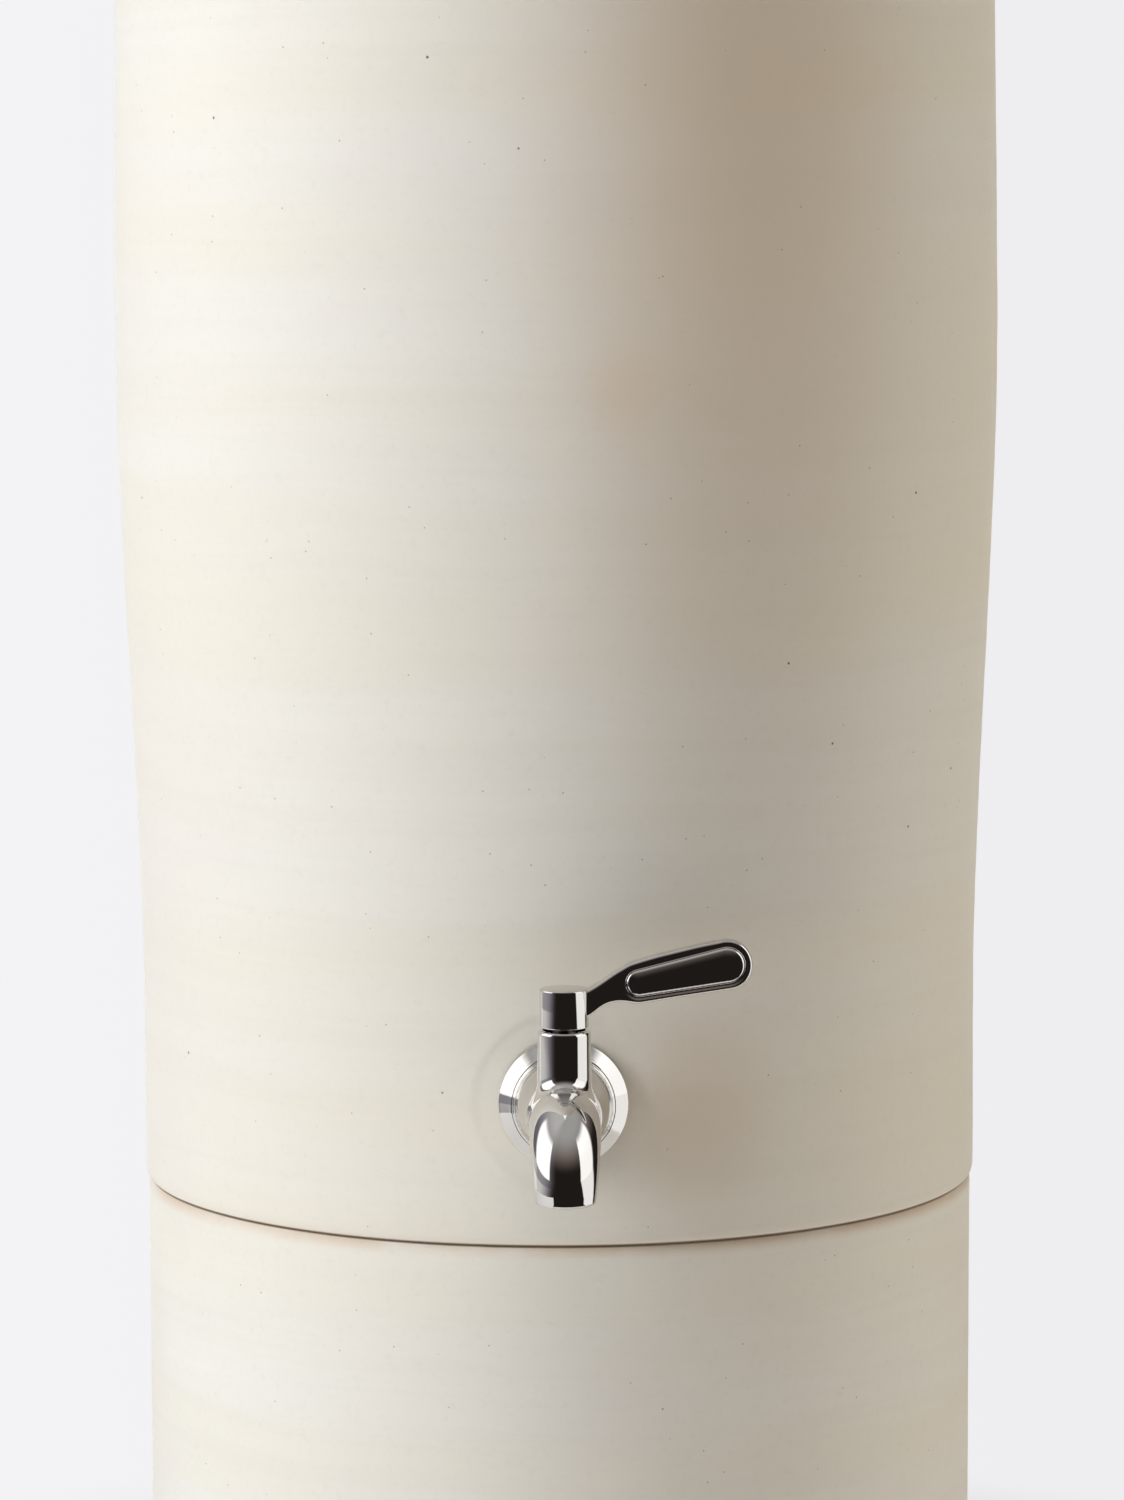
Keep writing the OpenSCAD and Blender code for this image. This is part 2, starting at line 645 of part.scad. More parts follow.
// Grub screw at the back of the hub that clamps it on the stem.
module lever_grub_screw() {
    screw_l = hub_r - plug_stem_r - 2 * slip - 0.3;
    color(steel) at_bonnet() translate([0, plug_stem_r + slip, neck_z]) rotate([-90, 0, 0]) difference() {
        cylinder(r = 2 - slip, h = screw_l, $fn = 48);
        translate([0, 0, screw_l - 1.5]) cylinder(r = 1.1, h = 1.5 + bore_over, $fn = 6);
    }
}

// Washer between the flange and the clay.
module flange_washer() {
    color(silicone) at_tap() rotate([90, 0, 0]) washer(washer_r, shank_r + slip, washer_t);
}

// Washer inside the vessel, under the nut.
module inner_washer() {
    color(silicone) at_tap() translate([0, wall_at_tap + washer_t, 0]) rotate([90, 0, 0])
        washer(inner_washer_r, shank_r + slip, washer_t);
}

// Hexagonal nut on the shank, with chamfered corners.
module tap_nut() {
    corner_r = nut_af / 2 / cos(30);
    color(steel) at_tap() translate([0, wall_at_tap + washer_t + nut_t, 0]) rotate([90, 0, 0]) difference() {
        intersection() {
            cylinder(r = corner_r, h = nut_t, $fn = 6);
            cylinder(r1 = corner_r - 1.4, r2 = corner_r - 1.4 + nut_t * 1.5, h = nut_t);
        }
        translate([0, 0, -bore_over]) cylinder(r = shank_r + slip, h = nut_t + 2 * bore_over);
    }
}

// Porous ceramic thimbles with round tops, set in their bases.
module candle_shells() {
    core_in = candle_r - candle_wall;
    color(candle_clay) at_candles() translate([0, 0, shell_z]) difference() {
        union() {
            cylinder(r = candle_r, h = candle_h - candle_r);
            translate([0, 0, candle_h - candle_r]) sphere(r = candle_r);
        }
        translate([0, 0, -candle_r]) cylinder(r = core_in, h = candle_h);
        translate([0, 0, candle_h - candle_r]) sphere(r = core_in);
        translate([0, 0, -2 * candle_r]) cylinder(r = 2 * candle_r, h = 2 * candle_r);
    }
}

// Blocks of activated carbon inside the shells.
module carbon_cores() {
    color(carbon) at_candles() translate([0, 0, shell_z]) difference() {
        cylinder(r = core_r, h = core_h);
        translate([0, 0, -bore_over]) cylinder(r = stem_bore, h = core_h / 2 + bore_over);
    }
}

// Plastic bases: a socket for the shell, a grip edge and the hollow threaded stem.
module candle_bases() {
    stem_foot = nut_z - stem_past;
    ribs = 24;
    color(white_plastic) at_candles() difference() {
        union() {
            translate([0, 0, base_z]) cylinder(r = base_r, h = base_h);
            for (i = [0:ribs - 1]) rotate([0, 0, 360 * i / ribs]) translate([base_r, 0, base_z + 1.5])
                cylinder(r = 0.8, h = base_h - 4, $fn = 16);
            translate([0, 0, stem_foot]) cylinder(r = stem_r, h = base_z - stem_foot + eps);
        }
        translate([0, 0, shell_z]) cylinder(r = candle_r + slip, h = socket_h + bore_over);
        translate([0, 0, stem_foot - bore_over]) cylinder(r = stem_bore, h = shell_z - stem_foot + 2 * bore_over);
    }
}

// Washers that seal the bases on the chamber's floor.
module candle_seal_washers() {
    color(silicone) at_candles() translate([0, 0, candle_floor_z]) washer(seal_r, stem_r + slip, candle_seal_t);
}

// Washers under the chamber's floor.
module candle_under_washers() {
    color(silicone) at_candles() translate([0, 0, chamber_z - candle_seal_t])
        washer(under_r, stem_r + slip, candle_seal_t);
}

// Wing nuts that draw the candles down, with their ears turned away from the washers.
module candle_wing_nuts() {
    ear_r = 0.62 * wing_nut_h;
    ear_top = 0.8 * wing_nut_h;
    color(white_plastic) at_candles() translate([0, 0, nut_z]) difference() {
        union() {
            cylinder(r = wing_hub_r, h = wing_nut_h);
            rotate([90, 0, 0]) translate([0, 0, -wing_t / 2]) linear_extrude(wing_t) {
                translate([ear_r - wing_span / 2, 1]) square([wing_span - 2 * ear_r, ear_top - 1]);
                for (side = [-1, 1]) translate([side * (wing_span / 2 - ear_r), ear_top - ear_r]) circle(r = ear_r);
            }
        }
        translate([0, 0, -wing_span]) cylinder(r = stem_r + slip, h = 2 * wing_span);
    }
}

stand();
vessel();
filter_chamber();
lid();
tap_body();
tap_lever();
valve_plug();
valve_sleeve();
plug_o_rings();
retaining_clip();
stop_pin();
lever_grub_screw();
flange_washer();
inner_washer();
tap_nut();
candle_shells();
carbon_cores();
candle_bases();
candle_seal_washers();
candle_under_washers();
candle_wing_nuts();
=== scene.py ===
import math

import bmesh
import bpy
import numpy as np
from mathutils import Matrix, Vector


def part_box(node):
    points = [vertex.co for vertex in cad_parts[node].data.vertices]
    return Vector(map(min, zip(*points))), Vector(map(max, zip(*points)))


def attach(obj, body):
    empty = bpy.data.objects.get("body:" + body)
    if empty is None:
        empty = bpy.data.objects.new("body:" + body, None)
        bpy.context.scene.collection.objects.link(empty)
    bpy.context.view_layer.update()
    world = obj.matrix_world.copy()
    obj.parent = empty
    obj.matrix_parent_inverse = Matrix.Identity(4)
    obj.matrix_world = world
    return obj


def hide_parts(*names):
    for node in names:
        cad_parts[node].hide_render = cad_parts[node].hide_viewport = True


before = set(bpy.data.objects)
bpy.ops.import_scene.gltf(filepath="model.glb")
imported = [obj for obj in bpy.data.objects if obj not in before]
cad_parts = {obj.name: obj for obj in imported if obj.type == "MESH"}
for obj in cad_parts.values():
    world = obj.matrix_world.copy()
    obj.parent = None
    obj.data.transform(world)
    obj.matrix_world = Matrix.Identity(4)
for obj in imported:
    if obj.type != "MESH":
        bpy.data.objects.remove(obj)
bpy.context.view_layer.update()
scene = bpy.context.scene
scene.view_settings.view_transform = "Standard"
MM = 0.001


# ------------------------------ Studio
# A white table in a white corner, with a tall soft light at the left and a white card at the right. The
# side of the room behind the camera is dark, which is what the polished steel shows in its middle.
SEAM_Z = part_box("stand")[1].z
CAMERA_AWAY = 1.5
CAMERA_OVER_SEAM = 0.2848
CAMERA_RIGHT = 0.0012
CAMERA_TURN = math.radians(0.6)
CAMERA_PITCH = math.radians(6.26)
CAMERA_ROLL = math.radians(-0.2)
CAMERA_LENS = 126.5
SENSOR = 36.0
TABLE = (0.86, 0.86, 0.87)
TABLE_FRONT = 0.28
TABLE_LEFT = 0.62
TABLE_SIZE = 30.0
WORLD_GLOW = 0.02
FLOOR_FADE = (0.11, 0.28)
PAPER_LEFT = (0.896, 0.896, 0.913)
PAPER_RIGHT = (0.853, 0.845, 0.869)
WARM_FRONT = (1.25, 1.0, 0.88)
LAVENDER_LEFT = (1.03, 0.98, 1.14)
BRIGHT = (1.0, 0.99, 0.97)
LIT_HEIGHT = 0.33


class Net:
    """A node tree of a material, a world or Geometry Nodes. add() makes one node and returns an output."""

    def __init__(self, tree):
        self.tree = tree

    def add(self, kind, settings=None, sockets=None, output=0):
        node = self.tree.nodes.new(kind)
        for name, value in (settings or {}).items():
            setattr(node, name, value)
        for name, value in (sockets or {}).items():
            if isinstance(value, Value):
                self.tree.links.new(value.socket, node.inputs[name])
            else:
                node.inputs[name].default_value = value
        return Value(self, node.outputs[output]) if len(node.outputs) else None

    def mix(self, share, first, second):
        """A colour between two others."""
        first, second = ((*c, 1.0) if isinstance(c, tuple) else c for c in (first, second))
        return self.add("ShaderNodeMix", {"data_type": "RGBA"}, {0: share, 6: first, 7: second}, 2)

    def vector(self, x, y, z):
        return self.add("ShaderNodeCombineXYZ", None, {0: x, 1: y, 2: z})

    def place(self):
        """The place on the piece, in metres."""
        return self.add("ShaderNodeTexCoord", None, None, "Object")

    def surface(self, **sockets):
        """Ends a material with a Principled shader."""
        names = {name.replace("_", " "): value for name, value in sockets.items()}
        shader = self.add("ShaderNodeBsdfPrincipled", None, names)
        self.add("ShaderNodeOutputMaterial", None, {"Surface": shader})

    def blend(self, share, first, second):
        """A shader between two others."""
        return self.add("ShaderNodeMixShader", None, {0: share, 1: first, 2: second})

    def bump(self, strength, distance, height):
        return self.add("ShaderNodeBump", None,
                        {"Strength": strength, "Distance": distance, "Height": height})

    def noise(self, place, scale, detail=2.0, rough=0.5):
        """Soft noise from 0 to 1, at so many features a metre."""
        return self.add("ShaderNodeTexNoise", None,
                        {"Vector": place, "Scale": scale, "Detail": detail, "Roughness": rough})


class Value:
    """A socket in a Net. The usual operators add Math nodes."""

    def __init__(self, net, socket):
        self.net = net
        self.socket = socket

    def maths(self, operation, *others):
        inputs = dict(enumerate((self, *others)))
        return self.net.add("ShaderNodeMath", {"operation": operation}, inputs)

    def __add__(self, other):
        return self.maths("ADD", other)

    def __sub__(self, other):
        return self.maths("SUBTRACT", other)

    def __rsub__(self, other):
        return self.net.add("ShaderNodeMath", {"operation": "SUBTRACT"}, {0: other, 1: self})

    def __mul__(self, other):
        return self.maths("MULTIPLY", other)

    def __truediv__(self, other):
        return self.maths("DIVIDE", other)

    def __pow__(self, other):
        return self.maths("POWER", other)

    __radd__ = __add__
    __rmul__ = __mul__

    def step(self, low, high):
        """0 below low, 1 above high, and smooth between them. With low above high it falls."""
        return self.net.add("ShaderNodeMapRange", {"interpolation_type": "SMOOTHSTEP"},
                            {"Value": self, "From Min": low, "From Max": high})

    def parts(self):
        """X, Y and Z of a vector."""
        split = self.net.add("ShaderNodeSeparateXYZ", None, {0: self})
        return [Value(self.net, socket) for socket in split.socket.node.outputs]


def material_net(name):
    material = bpy.data.materials.new(name)
    material.use_nodes = True
    material.node_tree.nodes.clear()
    return material, Net(material.node_tree)


def direction(x, y):
    """Angle round the vessel, in radians: 0 at the front, and growing to the right."""
    return x.maths("ARCTAN2", 0.0 - y)


def card(turn):
    """The directions in which the white card stands."""
    return turn.step(0.92, 0.98) * turn.step(1.95, 1.80)


def room(net, turn, rise):
    """What polished steel sees of the studio in a direction: the soft light, the card and the dark side."""
    light = turn.step(-0.98, -1.08) * turn.step(-2.14, -1.98)
    left = light * rise.step(-0.03, 0.03) * rise.step(0.85, 0.6)
    right = card(turn) * rise.step(-0.2, -0.12) * rise.step(0.95, 0.7)
    behind = turn.maths("ABSOLUTE").step(2.5, 2.75) * rise.step(-0.12, 0.0)
    above = rise.step(0.2, 1.2)
    return mood(net, turn, left * 1.5 + right * 1.3 + behind * 0.8 + above * 0.42)


def mood(net, turn, bright):
    """Colour and strength of a bright part of the room, over the dim warm front and the lavender left."""
    dim = net.mix(turn.step(-0.5, -1.0), WARM_FRONT, LAVENDER_LEFT)
    colour = net.mix(bright.step(0.0, 0.4), dim, BRIGHT)
    return colour, bright + turn.step(-0.55, -1.3) * 0.14 + 0.014


def paper(net, sideways):
    """White paper, with painted shade that darkens it a little towards the right."""
    return net.mix(sideways.step(-0.14, 0.16), PAPER_LEFT, PAPER_RIGHT)


def new_object(name, data):
    made = bpy.data.objects.new(name, data)
    scene.collection.objects.link(made)
    return made


def light_path(net):
    path = net.add("ShaderNodeLightPath")
    return {socket.name: Value(net, socket) for socket in path.socket.node.outputs}


def world_light():
    """The studio as steel and as the camera see it. The lamps do the lighting."""
    world = bpy.data.worlds.new("studio")
    world.use_nodes = True
    world.node_tree.nodes.clear()
    net = Net(world.node_tree)
    x, y, z = net.add("ShaderNodeTexCoord", None, None, "Generated").parts()
    colour, strength = room(net, direction(x, y), z.maths("ARCSINE"))
    glossy = net.add("ShaderNodeBackground", None, {"Color": colour, "Strength": strength})
    soft = net.add("ShaderNodeBackground", None, {"Strength": WORLD_GLOW})
    backdrop = net.add("ShaderNodeBackground", None, {"Color": paper(net, x)})
    rays = light_path(net)
    shown = net.blend(rays["Is Camera Ray"], net.blend(rays["Is Glossy Ray"], soft, glossy), backdrop)
    net.add("ShaderNodeOutputWorld", None, {"Surface": shown})
    scene.world = world


def soft_light(name, place, size, power, colour):
    """A soft lamp that points at the middle of the vessel."""
    data = bpy.data.lights.new(name, "AREA")
    data.shape = "RECTANGLE"
    data.size, data.size_y = size
    data.energy = power
    data.color = colour
    lamp = new_object(name, data)
    lamp.location = place
    aim = Vector((0, 0, LIT_HEIGHT)) - Vector(place)
    lamp.rotation_euler = aim.to_track_quat("-Z", "Y").to_euler()
    lamp.visible_camera = False
    lamp.visible_glossy = False


def table():
    """White table that fades into the backdrop. Past its edge steel sees the studio."""
    material, net = material_net("white_table")
    x, y, _ = net.place().parts()
    away = (x * x + y * y) ** 0.5
    back = y + CAMERA_AWAY
    sideways = x / ((x * x + back * back + 0.2) ** 0.5)
    lit = net.add("ShaderNodeBsdfDiffuse", None, {"Color": (*TABLE, 1.0)})
    plain = net.add("ShaderNodeEmission", None, {"Color": paper(net, sideways)})
    turn = direction(x, y)
    sides = card(turn) * 1.1 + turn.maths("ABSOLUTE").step(2.5, 2.7)
    left = turn.step(-0.70, -1.75) * (0.55 - away.step(1.22, 1.34) * 0.35) + turn.step(-1.9, -2.1) * 0.3
    colour, strength = mood(net, turn, sides + left * turn.step(-2.8, -2.7))
    beyond = net.add("ShaderNodeEmission", None, {"Color": colour, "Strength": strength})
    rays = light_path(net)
    fade = away.step(*FLOOR_FADE) * rays["Is Camera Ray"]
    edge = turn.step(-0.52, -0.64) * (TABLE_LEFT - TABLE_FRONT) + TABLE_FRONT
    past = (away - edge).step(0.0, 0.03) * rays["Is Glossy Ray"]
    surface = net.blend(past, net.blend(fade, lit, plain), beyond)
    net.add("ShaderNodeOutputMaterial", None, {"Surface": surface})
    mesh = bpy.data.meshes.new("table")
    corners = [(-1, -1), (1, -1), (1, 1), (-1, 1)]
    mesh.from_pydata([(TABLE_SIZE * x, TABLE_SIZE * y, 0) for x, y in corners], [], [(0, 1, 2, 3)])
    mesh.materials.append(material)
    floor = new_object("table", mesh)


def camera():
    data = bpy.data.cameras.new("camera")
    data.lens = CAMERA_LENS
    data.sensor_width = SENSOR
    data.clip_end = 100.0
    eye = new_object("camera", data)
    round_vessel = Matrix.Rotation(-CAMERA_TURN, 4, "Z")
    eye.location = round_vessel @ Vector((CAMERA_RIGHT, -CAMERA_AWAY, SEAM_Z + CAMERA_OVER_SEAM))
    aim = Matrix.Rotation(math.pi / 2 - CAMERA_PITCH, 4, "X") @ Matrix.Rotation(CAMERA_ROLL, 4, "Z")
    eye.rotation_euler = (round_vessel @ aim).to_euler()
    scene.camera = eye


camera()
world_light()
table()
soft_light("key", (-1.50, -0.80, 1.05), (0.9, 1.3), 27.8, (0.95, 1.0, 1.065))
soft_light("fill", (1.58, 0.22, 0.45), (0.8, 0.8), 7.8, (1.05, 1.0, 0.90))
soft_light("top", (0.0, -0.2, 2.3), (1.5, 1.5), 26.3, (1.11, 1.0, 0.85))


# ------------------------------ Ring stand
# An open ring of cream stoneware, thrown on the wheel, that lifts the vessel over a glass or jug. Its top
# edge is soft, with a brown band of kiln toast and painted shade, and a painted shade line where the two
# pieces meet.
STAND_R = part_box("stand")[1].x
STAND_WALL = 11 * MM
FOOT_ROUND = 3 * MM
SOFT_EDGE = (1.3 * MM, 3.0 * MM)
RING_PITCH = 12 * MM
THREAD = ("Thread depth", "Thread pitch", "Thread radius", "Thread low", "Thread high")
NO_THREAD = (0.0, 1.5 * MM, 1.0, 0.0, 1.0)
CREAM = (0.845, 0.803, 0.728)
YELLOWER = (0.992, 0.974, 0.918)
CLOUDED = (0.826, 0.772, 0.704)
BANDED = (0.79, 0.742, 0.655)
GRAINED = (0.70, 0.645, 0.56)
# Brown of the joints: partly kiln toast, partly painted shade under the seam. The next colour paints the
# dark shade line in the gap where two pieces meet.
TOAST_AND_SHADE_BROWN = (0.68, 0.47, 0.30)
PAINTED_SEAM_SHADE = (0.15, 0.095, 0.05)
SPECKLED = (0.085, 0.055, 0.04)
SPECKS = ((85.0, 0.042, 0.35, 0.85), (190.0, 0.055, 0.55, 0.55))  # per metre, size, share and strength


def arc(centre, radii, start, end, steps=8):
    """Points of an arc in a profile, from one angle to another in degrees. It may have two radii."""
    across, up = radii if isinstance(radii, tuple) else (radii, radii)
    angles = np.radians(np.linspace(start, end, steps + 1))
    return [(centre[0] + across * math.cos(a), centre[1] + up * math.sin(a)) for a in angles]


def straight(start, end, step):
    """Points between two points of a profile, without its ends."""
    start, end = np.array(start), np.array(end)
    count = max(1, round(float(np.linalg.norm(end - start)) / step))
    return [tuple(start + (end - start) * i / count) for i in range(1, count)]


def geometry_tree(name, inputs):
    """A Geometry Nodes tree with named inputs, its Net and its inputs as Values."""
    tree = bpy.data.node_groups.new(name, "GeometryNodeTree")
    kinds = {"Geometry": "NodeSocketGeometry", "Material": "NodeSocketMaterial",
             "Segments": "NodeSocketInt", "Count": "NodeSocketInt"}
    for title in inputs:
        tree.interface.new_socket(title, in_out="INPUT", socket_type=kinds.get(title, "NodeSocketFloat"))
    tree.interface.new_socket("Geometry", in_out="OUTPUT", socket_type="NodeSocketGeometry")
    net = Net(tree)
    first = net.add("NodeGroupInput")
    return tree, net, {title: Value(net, first.socket.node.outputs[title]) for title in inputs}


def finish_tree(net, shape, material):
    """Ends a tree with smooth shading, real meshes and a material."""
    shape = net.add("GeometryNodeSetShadeSmooth", None, {"Geometry": shape})
    shape = net.add("GeometryNodeRealizeInstances", None, {0: shape})
    shape = net.add("GeometryNodeSetMaterial", None, {"Geometry": shape, "Material": material})
    net.add("NodeGroupOutput", None, {0: shape})


def plain_mesh(piece):
    """Applies a piece's modifiers to its own mesh."""
    graph = bpy.context.evaluated_depsgraph_get()
    mesh = bpy.data.meshes.new_from_object(piece.evaluated_get(graph))
    piece.modifiers.clear()
    piece.data = mesh
    return piece


def run_tree(name, tree, mesh, values):
    """Runs a tree on a mesh and leaves a plain mesh object."""
    piece = new_object(name, mesh)
    modifier = piece.modifiers.new("nodes", "NODES")
    modifier.node_group = tree
    for item in tree.interface.items_tree:
        if item.in_out == "INPUT" and item.name in values:
            modifier[item.identifier] = values[item.name]
    return plain_mesh(piece)


def turning_tree():
    """Turns a profile about the Z axis. The wall can carry the soft rings of throwing or a screw thread.
    Crowding draws the segments towards the front."""
    tree, net, given = geometry_tree("turned", [
        "Geometry", "Segments", "Crowding", "Ring depth", "Wander", *THREAD, "Material"])
    place = net.add("GeometryNodeInputPosition")
    radius, _, height = place.parts()
    hub = 1.0 * MM
    flat = net.vector(radius - hub, 0.0 - height, 0.0)
    line = net.add("GeometryNodeMeshToCurve", None, {0: given["Geometry"]})
    line = net.add("GeometryNodeSetPosition", None, {"Geometry": line, "Position": flat})
    circle = net.add("GeometryNodeCurvePrimitiveCircle", None,
                     {"Resolution": given["Segments"], "Radius": hub})
    circle = net.add("GeometryNodeSetCurveNormal", {"mode": "Z_UP"}, {0: circle})
    wall = net.add("GeometryNodeCurveToMesh", None, {0: circle, 1: line})
    x, y, z = place.parts()
    angle = direction(x, y)
    angle = angle - angle.maths("SINE") * given["Crowding"]
    out = (x * x + y * y) ** 0.5
    slow = net.noise(net.vector(x * 4.0, y * 4.0, z / RING_PITCH), 1.0, 3.0)
    broad = net.noise(net.vector(x * 5.0, y * 5.0, z * 9.0 + 7.3), 1.0, 1.0)
    ring = (slow - 0.5) * given["Ring depth"] * 2.0 + (broad - 0.5) * given["Wander"] * 2.0
    climb = z / given["Thread pitch"] - angle / (2 * math.pi)
    tooth = climb.maths("PINGPONG", 0.5) * 2.0
    low, high, pitch = given["Thread low"], given["Thread high"], given["Thread pitch"]
    outer = out.step(given["Thread radius"] - 0.3 * MM, given["Thread radius"] - 0.2 * MM)
    screw = z.step(low, low + pitch) * z.step(high, high - pitch) * outer
    moved = out + ring - tooth * screw * given["Thread depth"]
    off_axis = out.step(0.2 * MM, 0.4 * MM)
    moved = moved.maths("MAXIMUM", 0.0) * off_axis
    put = net.vector(moved * angle.maths("SINE"), 0.0 - moved * angle.maths("COSINE"), z)
    wall = net.add("GeometryNodeSetPosition", None, {"Geometry": wall, "Position": put})
    wall = net.add("GeometryNodeMergeByDistance", None, {"Geometry": wall, "Distance": 1e-6})
    finish_tree(net, wall, given["Material"])
    return tree


TURNING = turning_tree()


def turned(name, profile, material, closed=False, segments=96, crowding=0.0, rings=0.0, wander=0.0,
           thread=NO_THREAD):
    """A turned piece from the points (radius, height) of its profile, with its faces pointing outwards."""
    count = len(profile)
    edges = [(i, (i + 1) % count) for i in range(count if closed else count - 1)]
    mesh = bpy.data.meshes.new(name)
    mesh.from_pydata([(r, 0.0, z) for r, z in profile], edges, [])
    piece = run_tree(name, TURNING, mesh, {
        "Segments": segments, "Crowding": crowding, "Ring depth": rings, "Wander": wander,
        "Material": material, **dict(zip(THREAD, thread))})
    work = bmesh.new()
    work.from_mesh(piece.data)
    bmesh.ops.recalc_face_normals(work, faces=work.faces)
    work.to_mesh(piece.data)
    work.free()
    return piece


def stoneware(name, toast_and_shade, tone=CREAM, kiln_and_painted_light_marks=()):
    """Satin cream stoneware: fine grain, dark specks, bands from the wheel, joints with a brown band that
    is partly kiln toast and partly painted shade and a dark painted shade line (height, reach, how brown
    and how dark), and marks (centre, reach along x, y and z, colour and strength): flame marks, painted
    warm shade, a painted tap shadow and painted bounce light from the floor."""
    material, net = material_net(name)
    place = net.place()
    x, y, z = place.parts()
    sway = net.noise(place, 9.0, 2.0)
    band_z = z + (sway - 0.5) * 0.012
    wide = net.noise(net.vector(x * 1.5, y * 1.5, band_z * 26.0), 1.0, 3.0)
    narrow = net.noise(net.vector(x * 5.0, y * 5.0, band_z * 190.0), 1.0, 3.0, 0.6)
    cloud = net.noise(place, 14.0, 3.0)
    mottle = net.noise(place, 420.0, 4.0, 0.65)
    yellow = tuple(c * share for c, share in zip(tone, YELLOWER))
    colour = net.mix(wide.step(0.38, 0.64), tone, yellow)
    colour = net.mix(cloud.step(0.44, 0.70) * 0.55, colour, CLOUDED)
    colour = net.mix(narrow.step(0.40, 0.75) * 0.27, colour, BANDED)
    colour = net.mix(mottle.step(0.50, 0.80) * 0.22, colour, GRAINED)
    flash = net.noise(place, 38.0, 3.0, 0.6)
    upright = net.add("ShaderNodeNewGeometry", None, None, "Normal").parts()[2]
    edge = upright.maths("ABSOLUTE").step(0.985, 0.93)
    # Along each joint: a brown band, partly kiln toast and partly painted shade, and on upright faces a
    # dark painted shade line in the gap.
    for height, reach, brown, dark in toast_and_shade:
        gap = (z - height).maths("ABSOLUTE")
        near = gap.step(reach * 2.4, reach * 0.3) * (flash.step(0.25, 0.60) * 0.8 + 0.2)
        colour = net.mix(near * 0.36 * brown, colour, TOAST_AND_SHADE_BROWN)
        seam_shade_line = gap.step(reach * 0.38, reach * 0.12) * edge
        colour = net.mix(seam_shade_line * dark, colour, PAINTED_SEAM_SHADE)
    for centre, reach, tint, strength in kiln_and_painted_light_marks:
        across, deep, up = ((a - middle) / span for a, middle, span in zip((x, y, z), centre, reach))
        off = (across * across + deep * deep + up * up) ** 0.5 + (cloud - 0.5) * 0.35
        colour = net.mix(off.step(1.0, 0.0) * strength, colour, tint)
    specks = 0.0
    for scale, size, few, strength in SPECKS:
        cells = net.add("ShaderNodeTexVoronoi", None, {"Vector": place, "Scale": scale}, "Distance")
        lot = Value(net, cells.socket.node.outputs["Color"]).parts()[0]
        dot = cells.step(size, size * 0.55) * lot.step(few, few - 0.05) * strength
        specks = dot + specks
    colour = net.mix(specks.maths("MINIMUM", 0.85), colour, SPECKLED)
    lines = net.noise(net.vector(x * 3.0, y * 3.0, band_z * 620.0), 1.0, 3.0, 0.55)
    pores = net.noise(place, 900.0, 3.0, 0.6)
    skin = net.noise(place, 260.0, 3.0, 0.55)
    relief = lines * 0.55 + skin * 0.8 + pores * 0.35 - specks * 0.8
    net.surface(Base_Color=colour, Roughness=mottle * 0.14 + 0.52,
                Normal=net.bump(0.32, 0.22 * MM, relief), Specular_IOR_Level=0.32)
    return material


def seat(piece, body, slot, *nodes):
    """Makes a piece ride on a body and stand for the nodes that it shows. Its slot is not used."""
    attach(piece, body)
    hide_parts(*nodes)


stand_in = STAND_R - STAND_WALL
stand_edge = STAND_R - SOFT_EDGE[0]
edge_z = SEAM_Z - SOFT_EDGE[1]
inner_foot = stand_in + FOOT_ROUND
stand_profile = (
    arc((STAND_R - FOOT_ROUND, FOOT_ROUND), FOOT_ROUND, -90, 0)
    + straight((STAND_R, FOOT_ROUND), (STAND_R, edge_z), 2.5 * MM)
    + arc((stand_edge, edge_z), SOFT_EDGE, 0, 90, 14)
    + straight((stand_edge, SEAM_Z), (inner_foot, SEAM_Z), 2 * MM)
    + arc((inner_foot, SEAM_Z - FOOT_ROUND), FOOT_ROUND, 90, 180)
    + straight((stand_in, SEAM_Z - FOOT_ROUND), (stand_in, FOOT_ROUND), 4 * MM)
    + arc((inner_foot, FOOT_ROUND), FOOT_ROUND, 180, 270)
)
STAND_CREAM = (0.865, 0.833, 0.773)
# The seam under the vessel: kiln toast with painted shade, and a dark painted shade line.
STAND_SEAM = (SEAM_Z, 1.9 * MM, 1.5, 0.92)
# Paler towards the foot of the stand: painted bounce light from the white floor.
FOOT_BOUNCE_LIGHT = ((0.0, 0.0, 0.0), (0.13, 0.13, 0.14), (0.91, 0.885, 0.84), 0.9)
stand_clay = stoneware("stoneware_stand", [STAND_SEAM], STAND_CREAM, [FOOT_BOUNCE_LIGHT])
stand = turned("ring_stand", stand_profile, stand_clay, closed=True, segments=288,
               rings=0.10 * MM, wander=0.22 * MM)
seat(stand, "stand", "clay", "stand")


# ------------------------------ Vessel
# The tall thrown body that keeps the filtered water. A clay boss under its floor drops into the stand. The
# wall is drilled for the tap, and a shallow ring pressed into the soft clay frames the tap's flange.
FOOT_R = STAND_R + 0.8 * MM
STRAIGHT_H = 50 * MM
BELLY_AT = 237 * MM
BELLY_OUT = 5.8 * MM
RIM_IN = 1.1 * MM
WALL = 9 * MM
FLOOR_T = 9 * MM
NEST_H = 6 * MM
NEST_GAP = 1.5 * MM
NEST_ROUND = 2 * MM
RIM_ROUND = 2.5 * MM
INNER_ROUND = 12 * MM
PRESS_DEPTH = 0.16 * MM
PRESS_R = 23.3 * MM
PRESS_EDGE = 2.6 * MM
LIP_H = 0.04 * MM
LIP_AT = PRESS_R + 1.8 * MM
LIP_W = 1.2 * MM
RIM_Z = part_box("vessel")[1].z
VESSEL_H = RIM_Z - SEAM_Z
TAP_Z = sum(corner.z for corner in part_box("flange_washer")) / 2
SEAT_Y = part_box("flange_washer")[1].y
